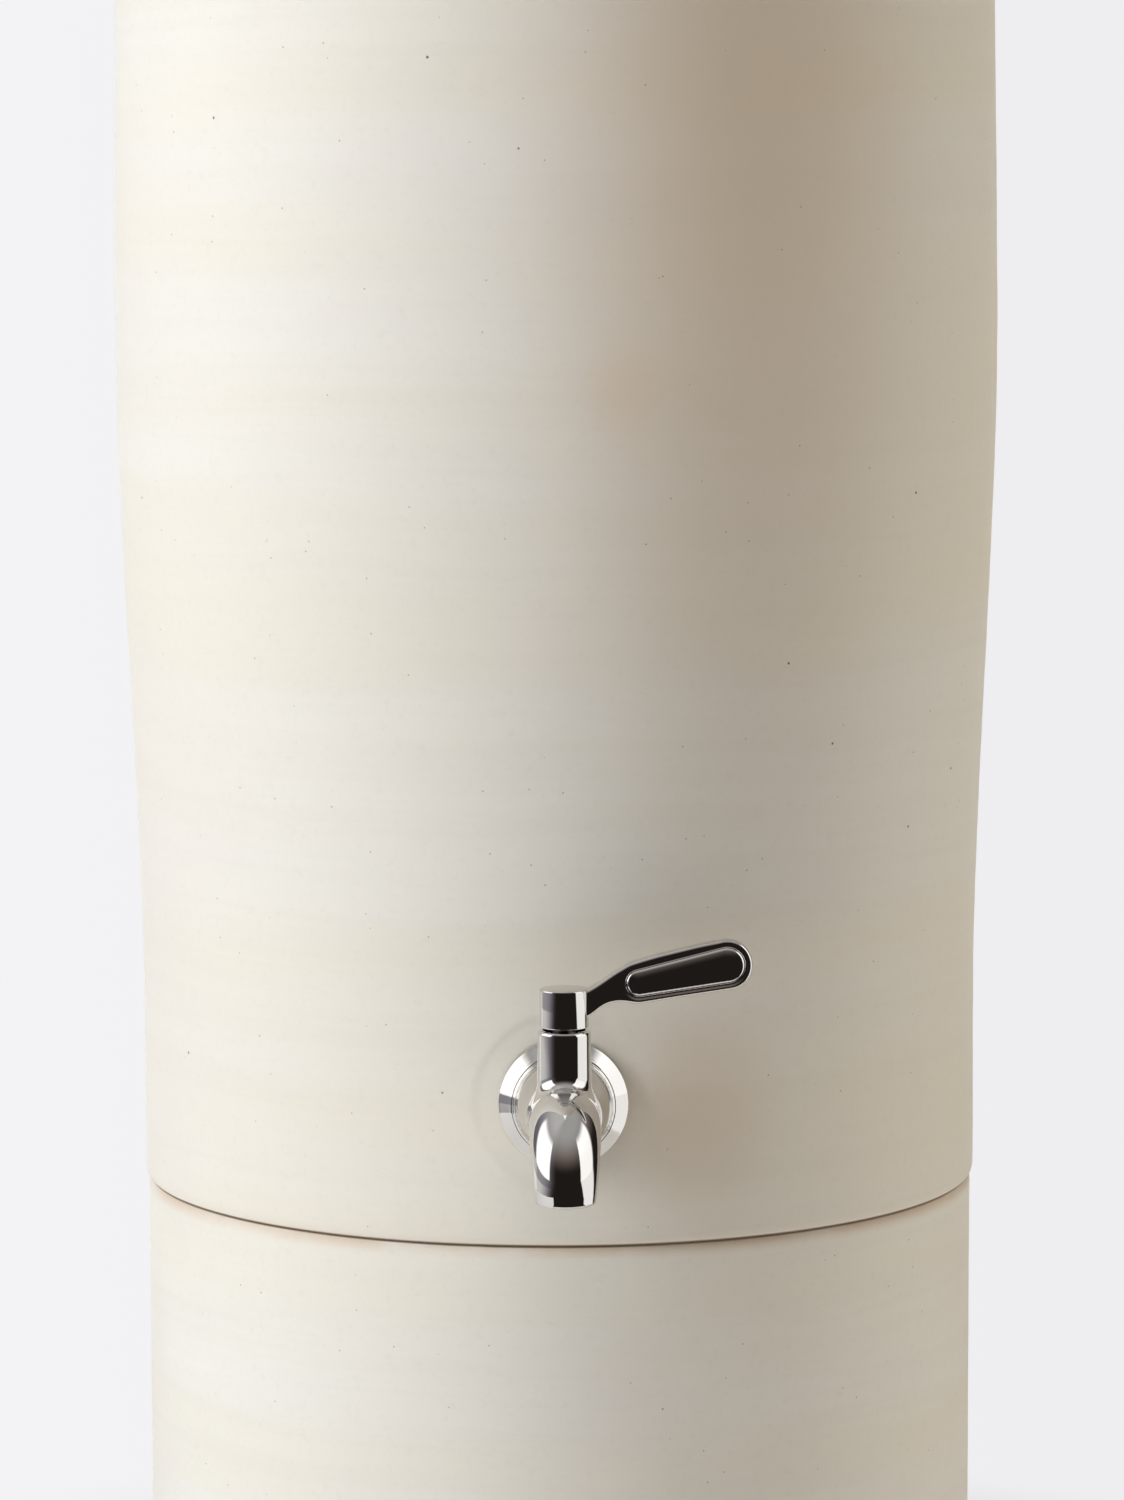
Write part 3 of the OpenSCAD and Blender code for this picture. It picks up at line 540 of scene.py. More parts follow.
INNER_SEAT_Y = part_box("inner_washer")[0].y
SEAT_R = 16.2 * MM
SEAT_EDGE = 0.7 * MM
HOLE_R = 8.5 * MM


def ease(t):
    """0 below 0, 1 above 1, and smooth between them."""
    t = np.clip(t, 0, 1)
    return t * t * (3 - 2 * t)


def vessel_r(height):
    """Outside radius of the vessel at a height above its foot."""
    return (FOOT_R + BELLY_OUT * ease((height - STRAIGHT_H) / (BELLY_AT - STRAIGHT_H))
            - RIM_IN * ease((height - BELLY_AT) / (VESSEL_H - BELLY_AT)))


def wall_line(start, end, inwards, step):
    """Points of the wall between two heights, so far inside its outer face."""
    count = max(2, round(abs(end - start) / step))
    heights = [start + (end - start) * i / count for i in range(count + 1)]
    return [(vessel_r(h) - inwards, SEAM_Z + h) for h in heights]


def vertex_places(mesh):
    places = np.empty(len(mesh.vertices) * 3)
    mesh.vertices.foreach_get("co", places)
    return places.reshape(-1, 3)


def press_tap_seat(mesh):
    """Presses the ring round the tap into the wall, and flattens a seat for the washer on each face."""
    places = vertex_places(mesh)
    out = np.maximum(np.hypot(places[:, 0], places[:, 1]), 1e-6)
    off = np.hypot(places[:, 0], places[:, 2] - TAP_Z)
    near = (places[:, 1] < 0) & (off < 2 * PRESS_R)
    outside = near & (out > FOOT_R - WALL / 2)
    inside = near & (out < FOOT_R - WALL / 2)
    edge = ease((PRESS_R + PRESS_EDGE / 2 - off) / PRESS_EDGE)
    lip = LIP_H * np.exp(-(((off - LIP_AT) / LIP_W) ** 2))
    share = (out + np.where(outside, lip - PRESS_DEPTH * edge, 0.0)) / out
    places[:, :2] *= share[:, None]
    flat = np.clip((SEAT_R + SEAT_EDGE - off) / SEAT_EDGE, 0, 1)
    for face, limit, level in (outside, np.maximum, SEAT_Y), (inside, np.minimum, INNER_SEAT_Y):
        deep = places[:, 1]
        places[:, 1] = np.where(face, deep * (1 - flat) + limit(deep, level) * flat, deep)
    mesh.vertices.foreach_set("co", places.ravel())


def cut(piece, cutter, operation="DIFFERENCE"):
    """Cuts a piece with another one, or joins or trims it. The other one is thrown away."""
    modifier = piece.modifiers.new("cut", "BOOLEAN")
    modifier.operation = operation
    modifier.solver = "MANIFOLD"
    modifier.object = cutter
    plain_mesh(piece)
    bpy.data.objects.remove(cutter)


def drill(name, radius, start, end, segments=64):
    """A round cutter between two points."""
    start, end = Vector(start), Vector(end)
    work = bmesh.new()
    bmesh.ops.create_cone(work, cap_ends=True, segments=segments, radius1=radius, radius2=radius,
                          depth=(end - start).length)
    turn = (end - start).to_track_quat("Z", "Y").to_matrix().to_4x4()
    bmesh.ops.transform(work, matrix=Matrix.Translation((start + end) / 2) @ turn, verts=work.verts)
    mesh = bpy.data.meshes.new(name)
    work.to_mesh(mesh)
    work.free()
    return new_object(name, mesh)


nest_r = stand_in - NEST_GAP
nest_z = SEAM_Z - NEST_H
foot_edge = FOOT_R - SOFT_EDGE[0]
rim_r = vessel_r(VESSEL_H)
mouth_r = rim_r - WALL
tap_h = TAP_Z - SEAM_Z
fine_from = tap_h - PRESS_R - 4 * MM
fine_to = tap_h + PRESS_R + 4 * MM
inner_from = FLOOR_T + INNER_ROUND
floor_r = FOOT_R - WALL - INNER_ROUND
vessel_floor = SEAM_Z + FLOOR_T
vessel_profile = (
    [(0.0, nest_z)]
    + straight((0.0, nest_z), (nest_r - NEST_ROUND, nest_z), 12 * MM)
    + arc((nest_r - NEST_ROUND, nest_z + NEST_ROUND), NEST_ROUND, -90, 0)
    + [(nest_r, SEAM_Z)]
    + straight((nest_r, SEAM_Z), (foot_edge, SEAM_Z), 4 * MM)
    + arc((foot_edge, SEAM_Z + SOFT_EDGE[1]), SOFT_EDGE, -90, 0, 14)
    + wall_line(SOFT_EDGE[1] + 1 * MM, fine_from, 0, 1.5 * MM)
    + wall_line(fine_from, fine_to, 0, 0.75 * MM)[1:]
    + wall_line(fine_to, VESSEL_H - RIM_ROUND - 1 * MM, 0, 3 * MM)[1:]
    + arc((rim_r - RIM_ROUND, RIM_Z - RIM_ROUND), RIM_ROUND, 0, 90)
    + arc((mouth_r + RIM_ROUND, RIM_Z - RIM_ROUND), RIM_ROUND, 90, 180)
    + wall_line(VESSEL_H - RIM_ROUND - 3 * MM, fine_to, WALL, 6 * MM)
    + wall_line(fine_to, inner_from + 2 * MM, WALL, 2 * MM)[1:]
    + arc((floor_r, SEAM_Z + inner_from), INNER_ROUND, 0, -90)
    + straight((floor_r, vessel_floor), (0.0, vessel_floor), 8 * MM)
    + [(0.0, vessel_floor)]
)
# A warm, darker patch painted over the front's shadow side, deepest towards the top: painted warm shade.
FRONT_WARM_SHADE = ((0.047, -0.113, SEAM_Z + 0.300), (0.076, 0.080, 0.215), (0.815, 0.65, 0.475), 0.62)
SMALL_BLUSH = ((0.017, -0.122, SEAM_Z + 0.228), (0.014, 0.014, 0.020), (0.82, 0.62, 0.44), 0.32)
# A brownish patch painted just right of the tap, where its soft shadow falls on the clay: painted shadow.
TAP_PAINTED_SHADOW = ((0.036, -0.113, TAP_Z - 0.003), (0.030, 0.030, 0.036), (0.78, 0.64, 0.51), 0.50)
BACK_MARK = ((-0.045, 0.110, SEAM_Z + 0.120), (0.060, 0.060, 0.150), (0.80, 0.66, 0.51), 0.50)
# The seam and the rim joint: kiln toast with painted shade, and a painted shade line.
VESSEL_SEAM = (SEAM_Z, 1.9 * MM, 0.15, 0.92)
VESSEL_RIM = (RIM_Z, 2.0 * MM, 1.0, 0.4)
vessel_clay = stoneware("stoneware_vessel", [VESSEL_SEAM, VESSEL_RIM],
                        kiln_and_painted_light_marks=[FRONT_WARM_SHADE, SMALL_BLUSH, TAP_PAINTED_SHADOW, BACK_MARK])
vessel = turned("thrown_vessel", vessel_profile, vessel_clay, segments=300, crowding=0.8,
                rings=0.13 * MM, wander=0.35 * MM)
press_tap_seat(vessel.data)
cut(vessel, drill("tap_hole", HOLE_R, (0, -FOOT_R - 20 * MM, TAP_Z), (0, -FOOT_R + 30 * MM, TAP_Z)))
seat(vessel, "vessel", "clay", "vessel")


# ------------------------------ Tap body
# One polished steel casting: a coned flange against the clay, a domed barrel, the bonnet that holds the
# valve and a spout that bends down and narrows. The threaded shank goes through the wall to the nut. Its
# sizes are in millimetres from the tap's seat.
SHANK_R = 8.0
SHANK_END = -(SEAT_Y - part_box("tap_body")[1].y) / MM
FLANGE_R = 17.25
FLANGE = (2.0, 3.3, 6.2)  # back, edge and middle of its cone, out from the seat
DOME = (13.1, 5.2, 24.6)  # radius, start and end, out from the seat
BARREL_R = 9.45
BONNET = (26.6, 7.0, 23.8)  # out from the seat, radius and top
BEND_AT = 33.6
BEND_R = 15.0
OUTLET_R = 7.75
OUTLET_DROP = 18.0
OUTLET_BORE = 5.6
VALVE_BORE = 5.6
SLEEVE_HALF = 6.6
WATERWAY_R = 3.8
BEAD_R = 0.55
BEAD_BLEND = 0.5
BONNET_BLEND = 3.2
OUTLET_EDGE = 1.1
BONNET_EDGE = 1.0
SHARP_ANGLE = math.radians(32)
AT_TAP = Matrix.Translation((0, SEAT_Y, TAP_Z)) @ Matrix.Rotation(math.pi / 2, 4, "X")


def from_tap(x, out, up):
    """A place in metres from millimetres right, out and up of the tap's seat."""
    return Vector((x * MM, SEAT_Y - out * MM, TAP_Z + up * MM))


def soft_union(first, second, blend):
    """The nearer of two fields, with a rounded corner where they meet."""
    share = np.clip(0.5 + 0.5 * (second - first) / blend, 0, 1)
    return second + (first - second) * share - blend * share * (1 - share)


def barrel_field(x, out, up):
    """Distance in mm from the skin of the barrel, the bend and the spout."""
    t = np.clip((out - DOME[1]) / (DOME[2] - DOME[1]), 0, 1)
    barrel = np.hypot(x, up) - (BARREL_R + (DOME[0] - BARREL_R) * (0.5 + 0.5 * np.cos(math.pi * t)))
    angle = np.clip(np.arctan2(out - BEND_AT, up + BEND_R), 0, math.pi / 2)
    ring = np.hypot(out - BEND_AT, up + BEND_R) - BEND_R
    low = np.where(up < -BEND_R, out - BEND_AT - BEND_R, ring)
    tail = BEND_R * math.pi / 2
    along = np.where(up < -BEND_R, tail - BEND_R - up, BEND_R * angle) / (tail + OUTLET_DROP - BEND_R)
    spout = np.hypot(x, low) - (BARREL_R + (OUTLET_R - BARREL_R) * np.clip(along, 0, 1.2) ** 2)
    return np.where(out < BEND_AT, barrel, spout)


def tap_field(points):
    """Distance in mm from the skin of the whole casting, without its flange and bores."""
    x, out, up = points[:, 0], (SEAT_Y / MM - points[:, 1]), points[:, 2] - TAP_Z / MM
    skin = barrel_field(x, out, up)
    bead = np.hypot(np.hypot(x, up) - DOME[0] - 0.1, out - FLANGE[2] + 0.1) - BEAD_R
    skin = soft_union(skin, bead, BEAD_BLEND)
    bonnet = np.hypot(x, out - BONNET[0]) - BONNET[1]
    skin = soft_union(skin, np.maximum(bonnet, -up - 4), BONNET_BLEND)
    skin = np.maximum(skin, FLANGE[2] - 2.5 - out)
    skin = -soft_union(-skin, OUTLET_DROP + up, OUTLET_EDGE)
    return -soft_union(-skin, BONNET[2] - up, BONNET_EDGE)


def slope(field, points, step=0.004):
    """Gradient of a field by small differences."""
    result = np.empty_like(points)
    for axis in range(3):
        shift = np.zeros(3)
        shift[axis] = step
        result[:, axis] = (field(points + shift) - field(points - shift)) / (2 * step)
    return result


def lattice(axes):
    """Every place whose coordinates are taken from three lists."""
    return np.stack(np.meshgrid(*axes, indexing="ij"), -1)


def skin_mesh(name, field, low, high, step):
    """Closed mesh round the places where a field is negative: a point for each grid cell that the skin
    crosses, pulled onto the skin. All in mm, and the mesh in metres."""
    axes = [np.arange(a, b + step, step) for a, b in zip(low, high)]
    grid = lattice(axes)
    value = field(grid.reshape(-1, 3)).reshape(grid.shape[:3])
    cells = tuple(n - 1 for n in value.shape)
    total = np.zeros((*cells, 3))
    hits = np.zeros(cells)
    index = lattice([np.arange(n, dtype=float) for n in cells])
    faces = []
    for axis in range(3):
        others = [a for a in range(3) if a != axis]
        for shifts in ((0, 0), (0, 1), (1, 0), (1, 1)):
            corner = np.zeros(3, int)
            corner[others] = shifts
            first = value[tuple(slice(c, c + n) for c, n in zip(corner, cells))]
            corner[axis] = 1
            second = value[tuple(slice(c, c + n) for c, n in zip(corner, cells))]
            corner[axis] = 0
            crossed = (first < 0) != (second < 0)
            share = np.where(crossed, first / np.where(crossed, first - second, 1), 0)
            place = index + corner
            place[..., axis] += share
            total += np.where(crossed[..., None], place, 0)
            hits += crossed
    used = hits > 0
    number = np.full(cells, -1)
    number[used] = np.arange(used.sum())
    points = total[used] / hits[used][:, None] * step + np.array([a[0] for a in axes])
    for axis in range(3):
        b, c = (axis + 1) % 3, (axis + 2) % 3
        inner = [slice(1, -1)] * 3
        inner[axis] = slice(None, -1)
        outer = list(inner)
        outer[axis] = slice(1, None)
        first, second = value[tuple(inner)], value[tuple(outer)]
        where = np.argwhere((first < 0) != (second < 0))
        entering = (first >= 0)[tuple(where.T)]
        where[:, b] += 1
        where[:, c] += 1
        quad = []
        for shift_b, shift_c in ((1, 1), (0, 1), (0, 0), (1, 0)):
            cell = where.copy()
            cell[:, b] -= shift_b
            cell[:, c] -= shift_c
            quad.append(number[tuple(cell.T)])
        quad = np.stack(quad, 1)
        quad[entering] = quad[entering][:, ::-1]
        faces.append(quad)
    for _ in range(4):
        lean = slope(field, points)
        length = np.maximum((lean ** 2).sum(1), 0.2)
        pull = -field(points) / length
        points = points + np.clip(pull, -step, step)[:, None] * lean
    mesh = bpy.data.meshes.new(name)
    mesh.from_pydata((points * MM).tolist(), [], np.concatenate(faces).tolist())
    return new_object(name, mesh)


def polish(piece, field=None):
    """Smooth shading that keeps sharp edges. Corners on the skin of a field take its exact direction, so
    that reflections run clean across the cut edges."""
    mesh = piece.data
    mesh.shade_smooth()
    mesh.set_sharp_from_angle(angle=SHARP_ANGLE)
    if field is None:
        return
    places = vertex_places(mesh) / MM
    lean = slope(field, places)
    lean /= np.maximum(np.linalg.norm(lean, axis=1), 1e-9)[:, None]
    on_skin = np.abs(field(places)) < 0.02
    corner_vertex = np.empty(len(mesh.loops), int)
    mesh.loops.foreach_get("vertex_index", corner_vertex)
    normals = np.empty(len(mesh.loops) * 3)
    mesh.corner_normals.foreach_get("vector", normals)
    normals = normals.reshape(-1, 3)
    exact = lean[corner_vertex]
    take = on_skin[corner_vertex] & ((exact * normals).sum(1) > 0.8)
    normals[take] = exact[take]
    mesh.normals_split_custom_set(normals.tolist())


def move(piece, matrix):
    """Moves a piece's mesh itself, so that the object stays at the origin."""
    piece.data.transform(matrix)


def dress(material, *pieces):
    """Gives pieces one material. A name stands for the piece that the CAD made."""
    for piece in pieces:
        slots = (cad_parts[piece] if isinstance(piece, str) else piece).data.materials
        slots.clear()
        slots.append(material)


def steel(name, tone, rough, wave=0.0, brushed=None):
    """Polished or brushed stainless steel. The cast parts keep a faint unevenness under the polish."""
    material, net = material_net(name)
    sockets = {"Base_Color": (*tone, 1.0), "Metallic": 1.0, "Roughness": rough}
    position = net.place()
    if wave:
        sockets["Normal"] = net.bump(wave, 0.1 * MM, net.noise(position, 160.0, 2.0))
    if brushed:
        stretched = net.vector(*(axis * scale for axis, scale in zip(position.parts(), brushed)))
        sockets["Roughness"] = net.noise(stretched, 1.0, 3.0) * 0.2 + rough
    net.surface(**sockets)
    return material


CHROME = steel("polished_steel", (0.72, 0.705, 0.69), 0.035, wave=0.03)
tap_low = (-16, SEAT_Y / MM - 60, TAP_Z / MM - 20)
tap_high = (16, SEAT_Y / MM - 2, TAP_Z / MM + 26)
TAP_STEP = 0.5
tap = skin_mesh("tap_body_skin", tap_field, tap_low, tap_high, TAP_STEP)
shank = turned("tap_flange", [
    (r * MM, out * MM) for r, out in
    [(0, -SHANK_END), (SHANK_R - 1.2, -SHANK_END), (SHANK_R - 0.2, 1.0 - SHANK_END)]
    + straight((SHANK_R, 1.2 - SHANK_END), (SHANK_R, 1.2), 0.2)
    + [(SHANK_R, FLANGE[0])]
    + arc((FLANGE_R - 0.25, FLANGE[0] + 0.25), 0.25, -90, 0, 4)
    + arc((FLANGE_R - 0.3, FLANGE[1] - 0.3), 0.3, 0, 62, 5)
    + straight((FLANGE_R - 0.2, FLANGE[1]), (DOME[0] + 0.75, FLANGE[2] - 0.1), 0.6)
    + arc((DOME[0] + 0.65, FLANGE[2] - 0.3), 0.3, 62, 120, 4)
    + [(DOME[0] + 0.35, FLANGE[2] - 0.35), (0, FLANGE[2] - 0.35)]
], CHROME, segments=128, thread=(0.85 * MM, 1.5 * MM, SHANK_R * MM, -(SHANK_END - 0.6) * MM, -2 * MM))
move(shank, AT_TAP)
cut(tap, shank, "UNION")
bore_up = -OUTLET_DROP + 1.7 * OUTLET_BORE
for start, end, radius in (
    ((0, -SHANK_END - 1, 0), (0, BONNET[0], 0), WATERWAY_R),
    ((0, BONNET[0], 0), (0, BEND_AT + BEND_R, bore_up), WATERWAY_R),
    ((0, BEND_AT + BEND_R, -OUTLET_DROP - 1), (0, BEND_AT + BEND_R, bore_up), OUTLET_BORE),
    ((0, BONNET[0], -SLEEVE_HALF), (0, BONNET[0], BONNET[2] + 1), VALVE_BORE),
):
    cut(tap, drill("bore", radius * MM, from_tap(*start), from_tap(*end)))
dress(CHROME, tap)
polish(tap, tap_field)
seat(tap, "vessel", "polished_steel", "tap_body")


# ------------------------------ Lever
# Cast and polished with the tap: a round hub over the valve's stem, a pinched neck and a paddle for the
# thumb. On both faces a rounded pad stands in a groove inside the paddle's rim. Its sizes are in
# millimetres, to the right of the valve's axis and up from the tap's.
HUB_R = 6.45
HUB = (24.55, 34.65)  # bottom and top
HANDLE_IN = (19.5, 36.25, 5.4)  # right, up and radius of the paddle's near end
HANDLE_OUT = (42.4, 40.85, 6.6)  # and of its far end
BLADE = 2.2
BLADE_ROUND = 0.95
NECK_BLEND = 0.8
GROOVE_R = 0.95
PAD_RIM = 1.9
PAD_STEP = 0.22
PAD_ARCH = 0.90
PAD_SLOPE = 4.2
PAD_ROUND = 0.75
NECK_TOP = [(1, 32.6), (6.6, 34.7), (10.5, 37.2), (14.0, 39.7), (16.9, 41.1), (20.5, 42.4),
            (24.6, 43.6), (35.2, 46.1), (39, 46.7), (43, 46.4)]
NECK_BOTTOM = [(1, 26.0), (6.6, 27.2), (8.0, 28.7), (10.5, 30.6), (14.0, 31.4), (17.6, 30.9),
               (21.1, 31.2), (25, 32.0), (35, 34.2), (43, 36.5)]
STEM_R = 3.15
GRUB_R = 2.0
GRUB_UP = 30.9
LEVER_STEP = 0.2


def eased_line(points):
    """A smoothed line along points, sampled finely: x, height and slope."""
    x, z = np.array(points, float).T
    fine = np.linspace(x[0], x[-1], 400)
    height = np.interp(fine, x, z)
    for _ in range(3):
        height = np.convolve(np.pad(height, 12, "reflect", reflect_type="odd"), np.ones(25) / 25, "valid")
    return fine, height, np.gradient(height, fine)


neck_top = eased_line(NECK_TOP)
neck_bottom = eased_line(NECK_BOTTOM)
handle_in = np.array(HANDLE_IN)
handle_run = np.array(HANDLE_OUT) - handle_in


def handle_depth(x, z):
    """Distance in mm inside the outline of the paddle, a capsule that widens to its tip."""
    span = handle_run[0] ** 2 + handle_run[1] ** 2
    along = (x - handle_in[0]) * handle_run[0] + (z - handle_in[1]) * handle_run[1]
    across = (x - handle_in[0]) * handle_run[1] - (z - handle_in[1]) * handle_run[0]
    flare = handle_run[2] / math.sqrt(span)
    t = np.clip((along + np.abs(across) * flare) / span, 0, 1)
    away = np.hypot(x - handle_in[0] - t * handle_run[0], z - handle_in[1] - t * handle_run[1])
    return handle_in[2] + t * handle_run[2] - away


def slab(outside, over, round_off):
    """Distance from a flat body with rounded edges: how far outside its outline and over its face."""
    a, b = outside + round_off, over + round_off
    return np.hypot(np.maximum(a, 0), np.maximum(b, 0)) + np.minimum(np.maximum(a, b), 0) - round_off


def lever_field(points):
    """Distance in mm from the skin of the neck and the paddle."""
    x = points[:, 0]
    z = points[:, 2] - TAP_Z / MM
    off = np.abs(points[:, 1] - (SEAT_Y / MM - BONNET[0]))
    top, top_slope = (np.interp(x, neck_top[0], row) for row in neck_top[1:])
    bottom, bottom_slope = (np.interp(x, neck_bottom[0], row) for row in neck_bottom[1:])
    over = (z - top) / np.sqrt(1 + top_slope ** 2)
    under = (bottom - z) / np.sqrt(1 + bottom_slope ** 2)
    neck = np.maximum(np.maximum(over, under), np.maximum(3 - x, x - 40))
    inside = handle_depth(x, z)
    outside = soft_union(neck, -inside, NECK_BLEND)
    thick = BLADE + 0.6 * np.clip(1 - (x - 6) / 11, 0, 1) ** 2
    blade = slab(outside, off - thick, BLADE_ROUND)
    groove = np.hypot(inside - PAD_RIM + 0.1, off - BLADE - 0.65) - GROOVE_R
    blade = -soft_union(-blade, groove, 0.5)
    arch = 1 - (1 - np.clip((inside - PAD_RIM) / PAD_SLOPE, 0, 1)) ** 2
    pad = slab(PAD_RIM - inside, off - (BLADE + PAD_STEP + PAD_ARCH * arch), PAD_ROUND)
    return soft_union(blade, pad, 0.3)


hinge_y = SEAT_Y / MM - BONNET[0]
lever_low = (2, hinge_y - 4, TAP_Z / MM + 25)
lever_high = (50, hinge_y + 4, TAP_Z / MM + 49)
lever = skin_mesh("tap_lever_skin", lever_field, lever_low, lever_high, LEVER_STEP)
hub = turned("tap_hub", [
    (r * MM, z * MM) for r, z in
    [(0, HUB[0])] + arc((HUB_R - 0.35, HUB[0] + 0.35), 0.35, -90, 0, 5)
    + arc((HUB_R - 0.4, HUB[1] - 0.4), 0.4, 0, 90, 6) + [(0, HUB[1])]
], CHROME, segments=128)
move(hub, Matrix.Translation(from_tap(0, BONNET[0], 0)))
cut(lever, hub, "UNION")
for name, radius, start, end in (
    ("stem_hole", STEM_R, (0, BONNET[0], HUB[0] - 1), (0, BONNET[0], HUB[1] - 2.9)),
    ("grub_hole", GRUB_R, (0, BONNET[0], GRUB_UP), (0, BONNET[0] - HUB_R - 1, GRUB_UP)),
):
    cut(lever, drill(name, radius * MM, from_tap(*start), from_tap(*end)))
dress(CHROME, lever)
polish(lever, lever_field)
seat(lever, "tap_lever", "polished_steel", "tap_lever")


# ------------------------------ Valve, washers and nut
# What the tap needs to work and to seal: the turning plug in its slippery liner, its O-rings, clip, stop
# pin and grub screw, a soft washer on each face of the wall, and the nut inside the vessel.
NUT_AF = 24.0  # millimetres across its flats


def plain_finish(name, colour, rough, grain_scale, grain_depth, shade=0.12):
    """A plain material with a fine grain: rubber, plastic, fired ceramic or carbon."""
    material, net = material_net(name)
    position = net.place()
    grain = net.noise(position, grain_scale, 4.0, 0.6)
    broad = net.noise(position, grain_scale / 14, 2.0)
    darker = tuple(c * (1 - shade) for c in colour)
    tone = net.mix(broad.step(0.35, 0.7), colour, darker)
    net.surface(Base_Color=tone, Roughness=grain * 0.16 + (rough - 0.08),
                Normal=net.bump(0.4, grain_depth, grain))
    return material


MACHINED = steel("machined_steel", (0.66, 0.65, 0.64), 0.16, brushed=(60.0, 2400.0, 60.0))
dress(MACHINED, "valve_plug", "retaining_clip", "stop_pin", "lever_grub_screw")
dress(plain_finish("slippery_liner", (0.86, 0.86, 0.84), 0.4, 900.0, 0.02 * MM), "valve_sleeve")
dress(plain_finish("black_rubber", (0.022, 0.022, 0.024), 0.5, 1600.0, 0.03 * MM), "plug_o_rings")
SILICONE = plain_finish("milky_silicone", (0.70, 0.72, 0.71), 0.42, 1200.0, 0.02 * MM, 0.05)
dress(SILICONE, "flange_washer", "inner_washer", "candle_seal_washers", "candle_under_washers")

nut_low, nut_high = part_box("tap_nut")
nut_corner = NUT_AF / 2 * MM / math.cos(math.pi / 6)
nut_h = nut_high.y - nut_low.y
nut = drill("tap_nut", nut_corner, (0, 0, 0), (0, 0, nut_h), 6)
for name, end_r, middle_r, bevel, segments, operation in (
    ("nut_chamfers", nut_corner - 2.6 * MM, nut_corner + 0.1 * MM, 1.1 * MM, 96, "INTERSECT"),
    ("nut_bore", (SHANK_R + 1.0) * MM, (SHANK_R + 0.05) * MM, 0.5 * MM, 64, "DIFFERENCE"),
):
    cutter = turned(name, [(0, -1 * MM), (end_r, -1 * MM), (middle_r, bevel), (middle_r, nut_h - bevel),
                           (end_r, nut_h + 1 * MM), (0, nut_h + 1 * MM)], MACHINED, segments=segments)
    cut(nut, cutter, operation)
move(nut, Matrix.Translation((0, nut_low.y, TAP_Z)) @ Matrix.Rotation(-math.pi / 2, 4, "X"))
dress(MACHINED, nut)
polish(nut)
seat(nut, "vessel", "brushed_steel", "tap_nut")


# ------------------------------ Filter chamber
# The thrown pot for the raw water. Its flange rests on the vessel's rim and its collar keeps it in the
# mouth. Two holes in the floor take the candles' stems.
COLLAR_GAP = 1.5 * MM
COLLAR = (14 * MM, 3 * MM)  # height and step
CHAMBER_TAPER = 4 * MM
CHAMBER_WALL = 8 * MM
CHAMBER_FLOOR = 9 * MM
CANDLE_OUT = 50 * MM
STEM_HOLE_R = 6.5 * MM
CHAMBER_Z, LID_Z = (corner.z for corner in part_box("filter_chamber"))

chamber_rim_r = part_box("filter_chamber")[1].x
collar_r = mouth_r - COLLAR_GAP
chamber_r = collar_r - COLLAR[1]
chamber_in = chamber_r - CHAMBER_WALL
chamber_foot_r = chamber_r - CHAMBER_TAPER
floor_z = CHAMBER_Z + CHAMBER_FLOOR
foot_in = chamber_foot_r - CHAMBER_WALL
collar_foot = RIM_Z - sum(COLLAR)
flange_edge = chamber_rim_r - RIM_ROUND
mouth_edge = chamber_in + RIM_ROUND
chamber_profile = (
    [(0.0, CHAMBER_Z)]
    + straight((0.0, CHAMBER_Z), (chamber_foot_r - INNER_ROUND, CHAMBER_Z), 8 * MM)
    + arc((chamber_foot_r - INNER_ROUND, CHAMBER_Z + INNER_ROUND), INNER_ROUND, -90, 0)
    + straight((chamber_foot_r, CHAMBER_Z + INNER_ROUND), (chamber_r, collar_foot), 3 * MM)
    + [(chamber_r, collar_foot)]
    + arc((collar_r - 1 * MM, RIM_Z - COLLAR[0]), 1 * MM, -45, 0, 3)
    + straight((collar_r, RIM_Z - COLLAR[0]), (collar_r, RIM_Z), 3 * MM)
    + [(collar_r, RIM_Z)]
    + straight((collar_r, RIM_Z), (flange_edge, RIM_Z), 4 * MM)
    + arc((flange_edge, RIM_Z + RIM_ROUND), RIM_ROUND, -90, 0)
    + straight((chamber_rim_r, RIM_Z + RIM_ROUND), (chamber_rim_r, LID_Z - RIM_ROUND), 1.5 * MM)
    + arc((flange_edge, LID_Z - RIM_ROUND), RIM_ROUND, 0, 90)
    + straight((flange_edge, LID_Z), (mouth_edge, LID_Z), 4 * MM)
    + arc((mouth_edge, LID_Z - RIM_ROUND), RIM_ROUND, 90, 180)
    + straight((chamber_in, LID_Z - RIM_ROUND), (chamber_in, collar_foot), 3 * MM)
    + [(chamber_in, collar_foot)]
    + straight((chamber_in, collar_foot), (foot_in, floor_z + INNER_ROUND), 3 * MM)
    + arc((foot_in - INNER_ROUND, floor_z + INNER_ROUND), INNER_ROUND, 0, -90)
    + straight((foot_in - INNER_ROUND, floor_z), (0.0, floor_z), 8 * MM)
    + [(0.0, floor_z)]
)
# The flange's joints with the vessel and the lid: kiln toast with painted shade, and a painted shade line.
FLANGE_FOOT = (RIM_Z, 1.6 * MM, 1.0, 0.4)
FLANGE_TOP = (LID_Z, 1.6 * MM, 1.0, 0.4)
pot_clay = stoneware("stoneware_chamber", [FLANGE_FOOT, FLANGE_TOP])
chamber = turned("filter_pot", chamber_profile, pot_clay, segments=240, rings=0.09 * MM, wander=0.12 * MM)
for side in (-1, 1):
    cut(chamber, drill("stem_hole", STEM_HOLE_R, (side * CANDLE_OUT, 0, CHAMBER_Z - 5 * MM),
                       (side * CANDLE_OUT, 0, floor_z + 5 * MM), 48))
seat(chamber, "filter_chamber", "clay", "filter_chamber")


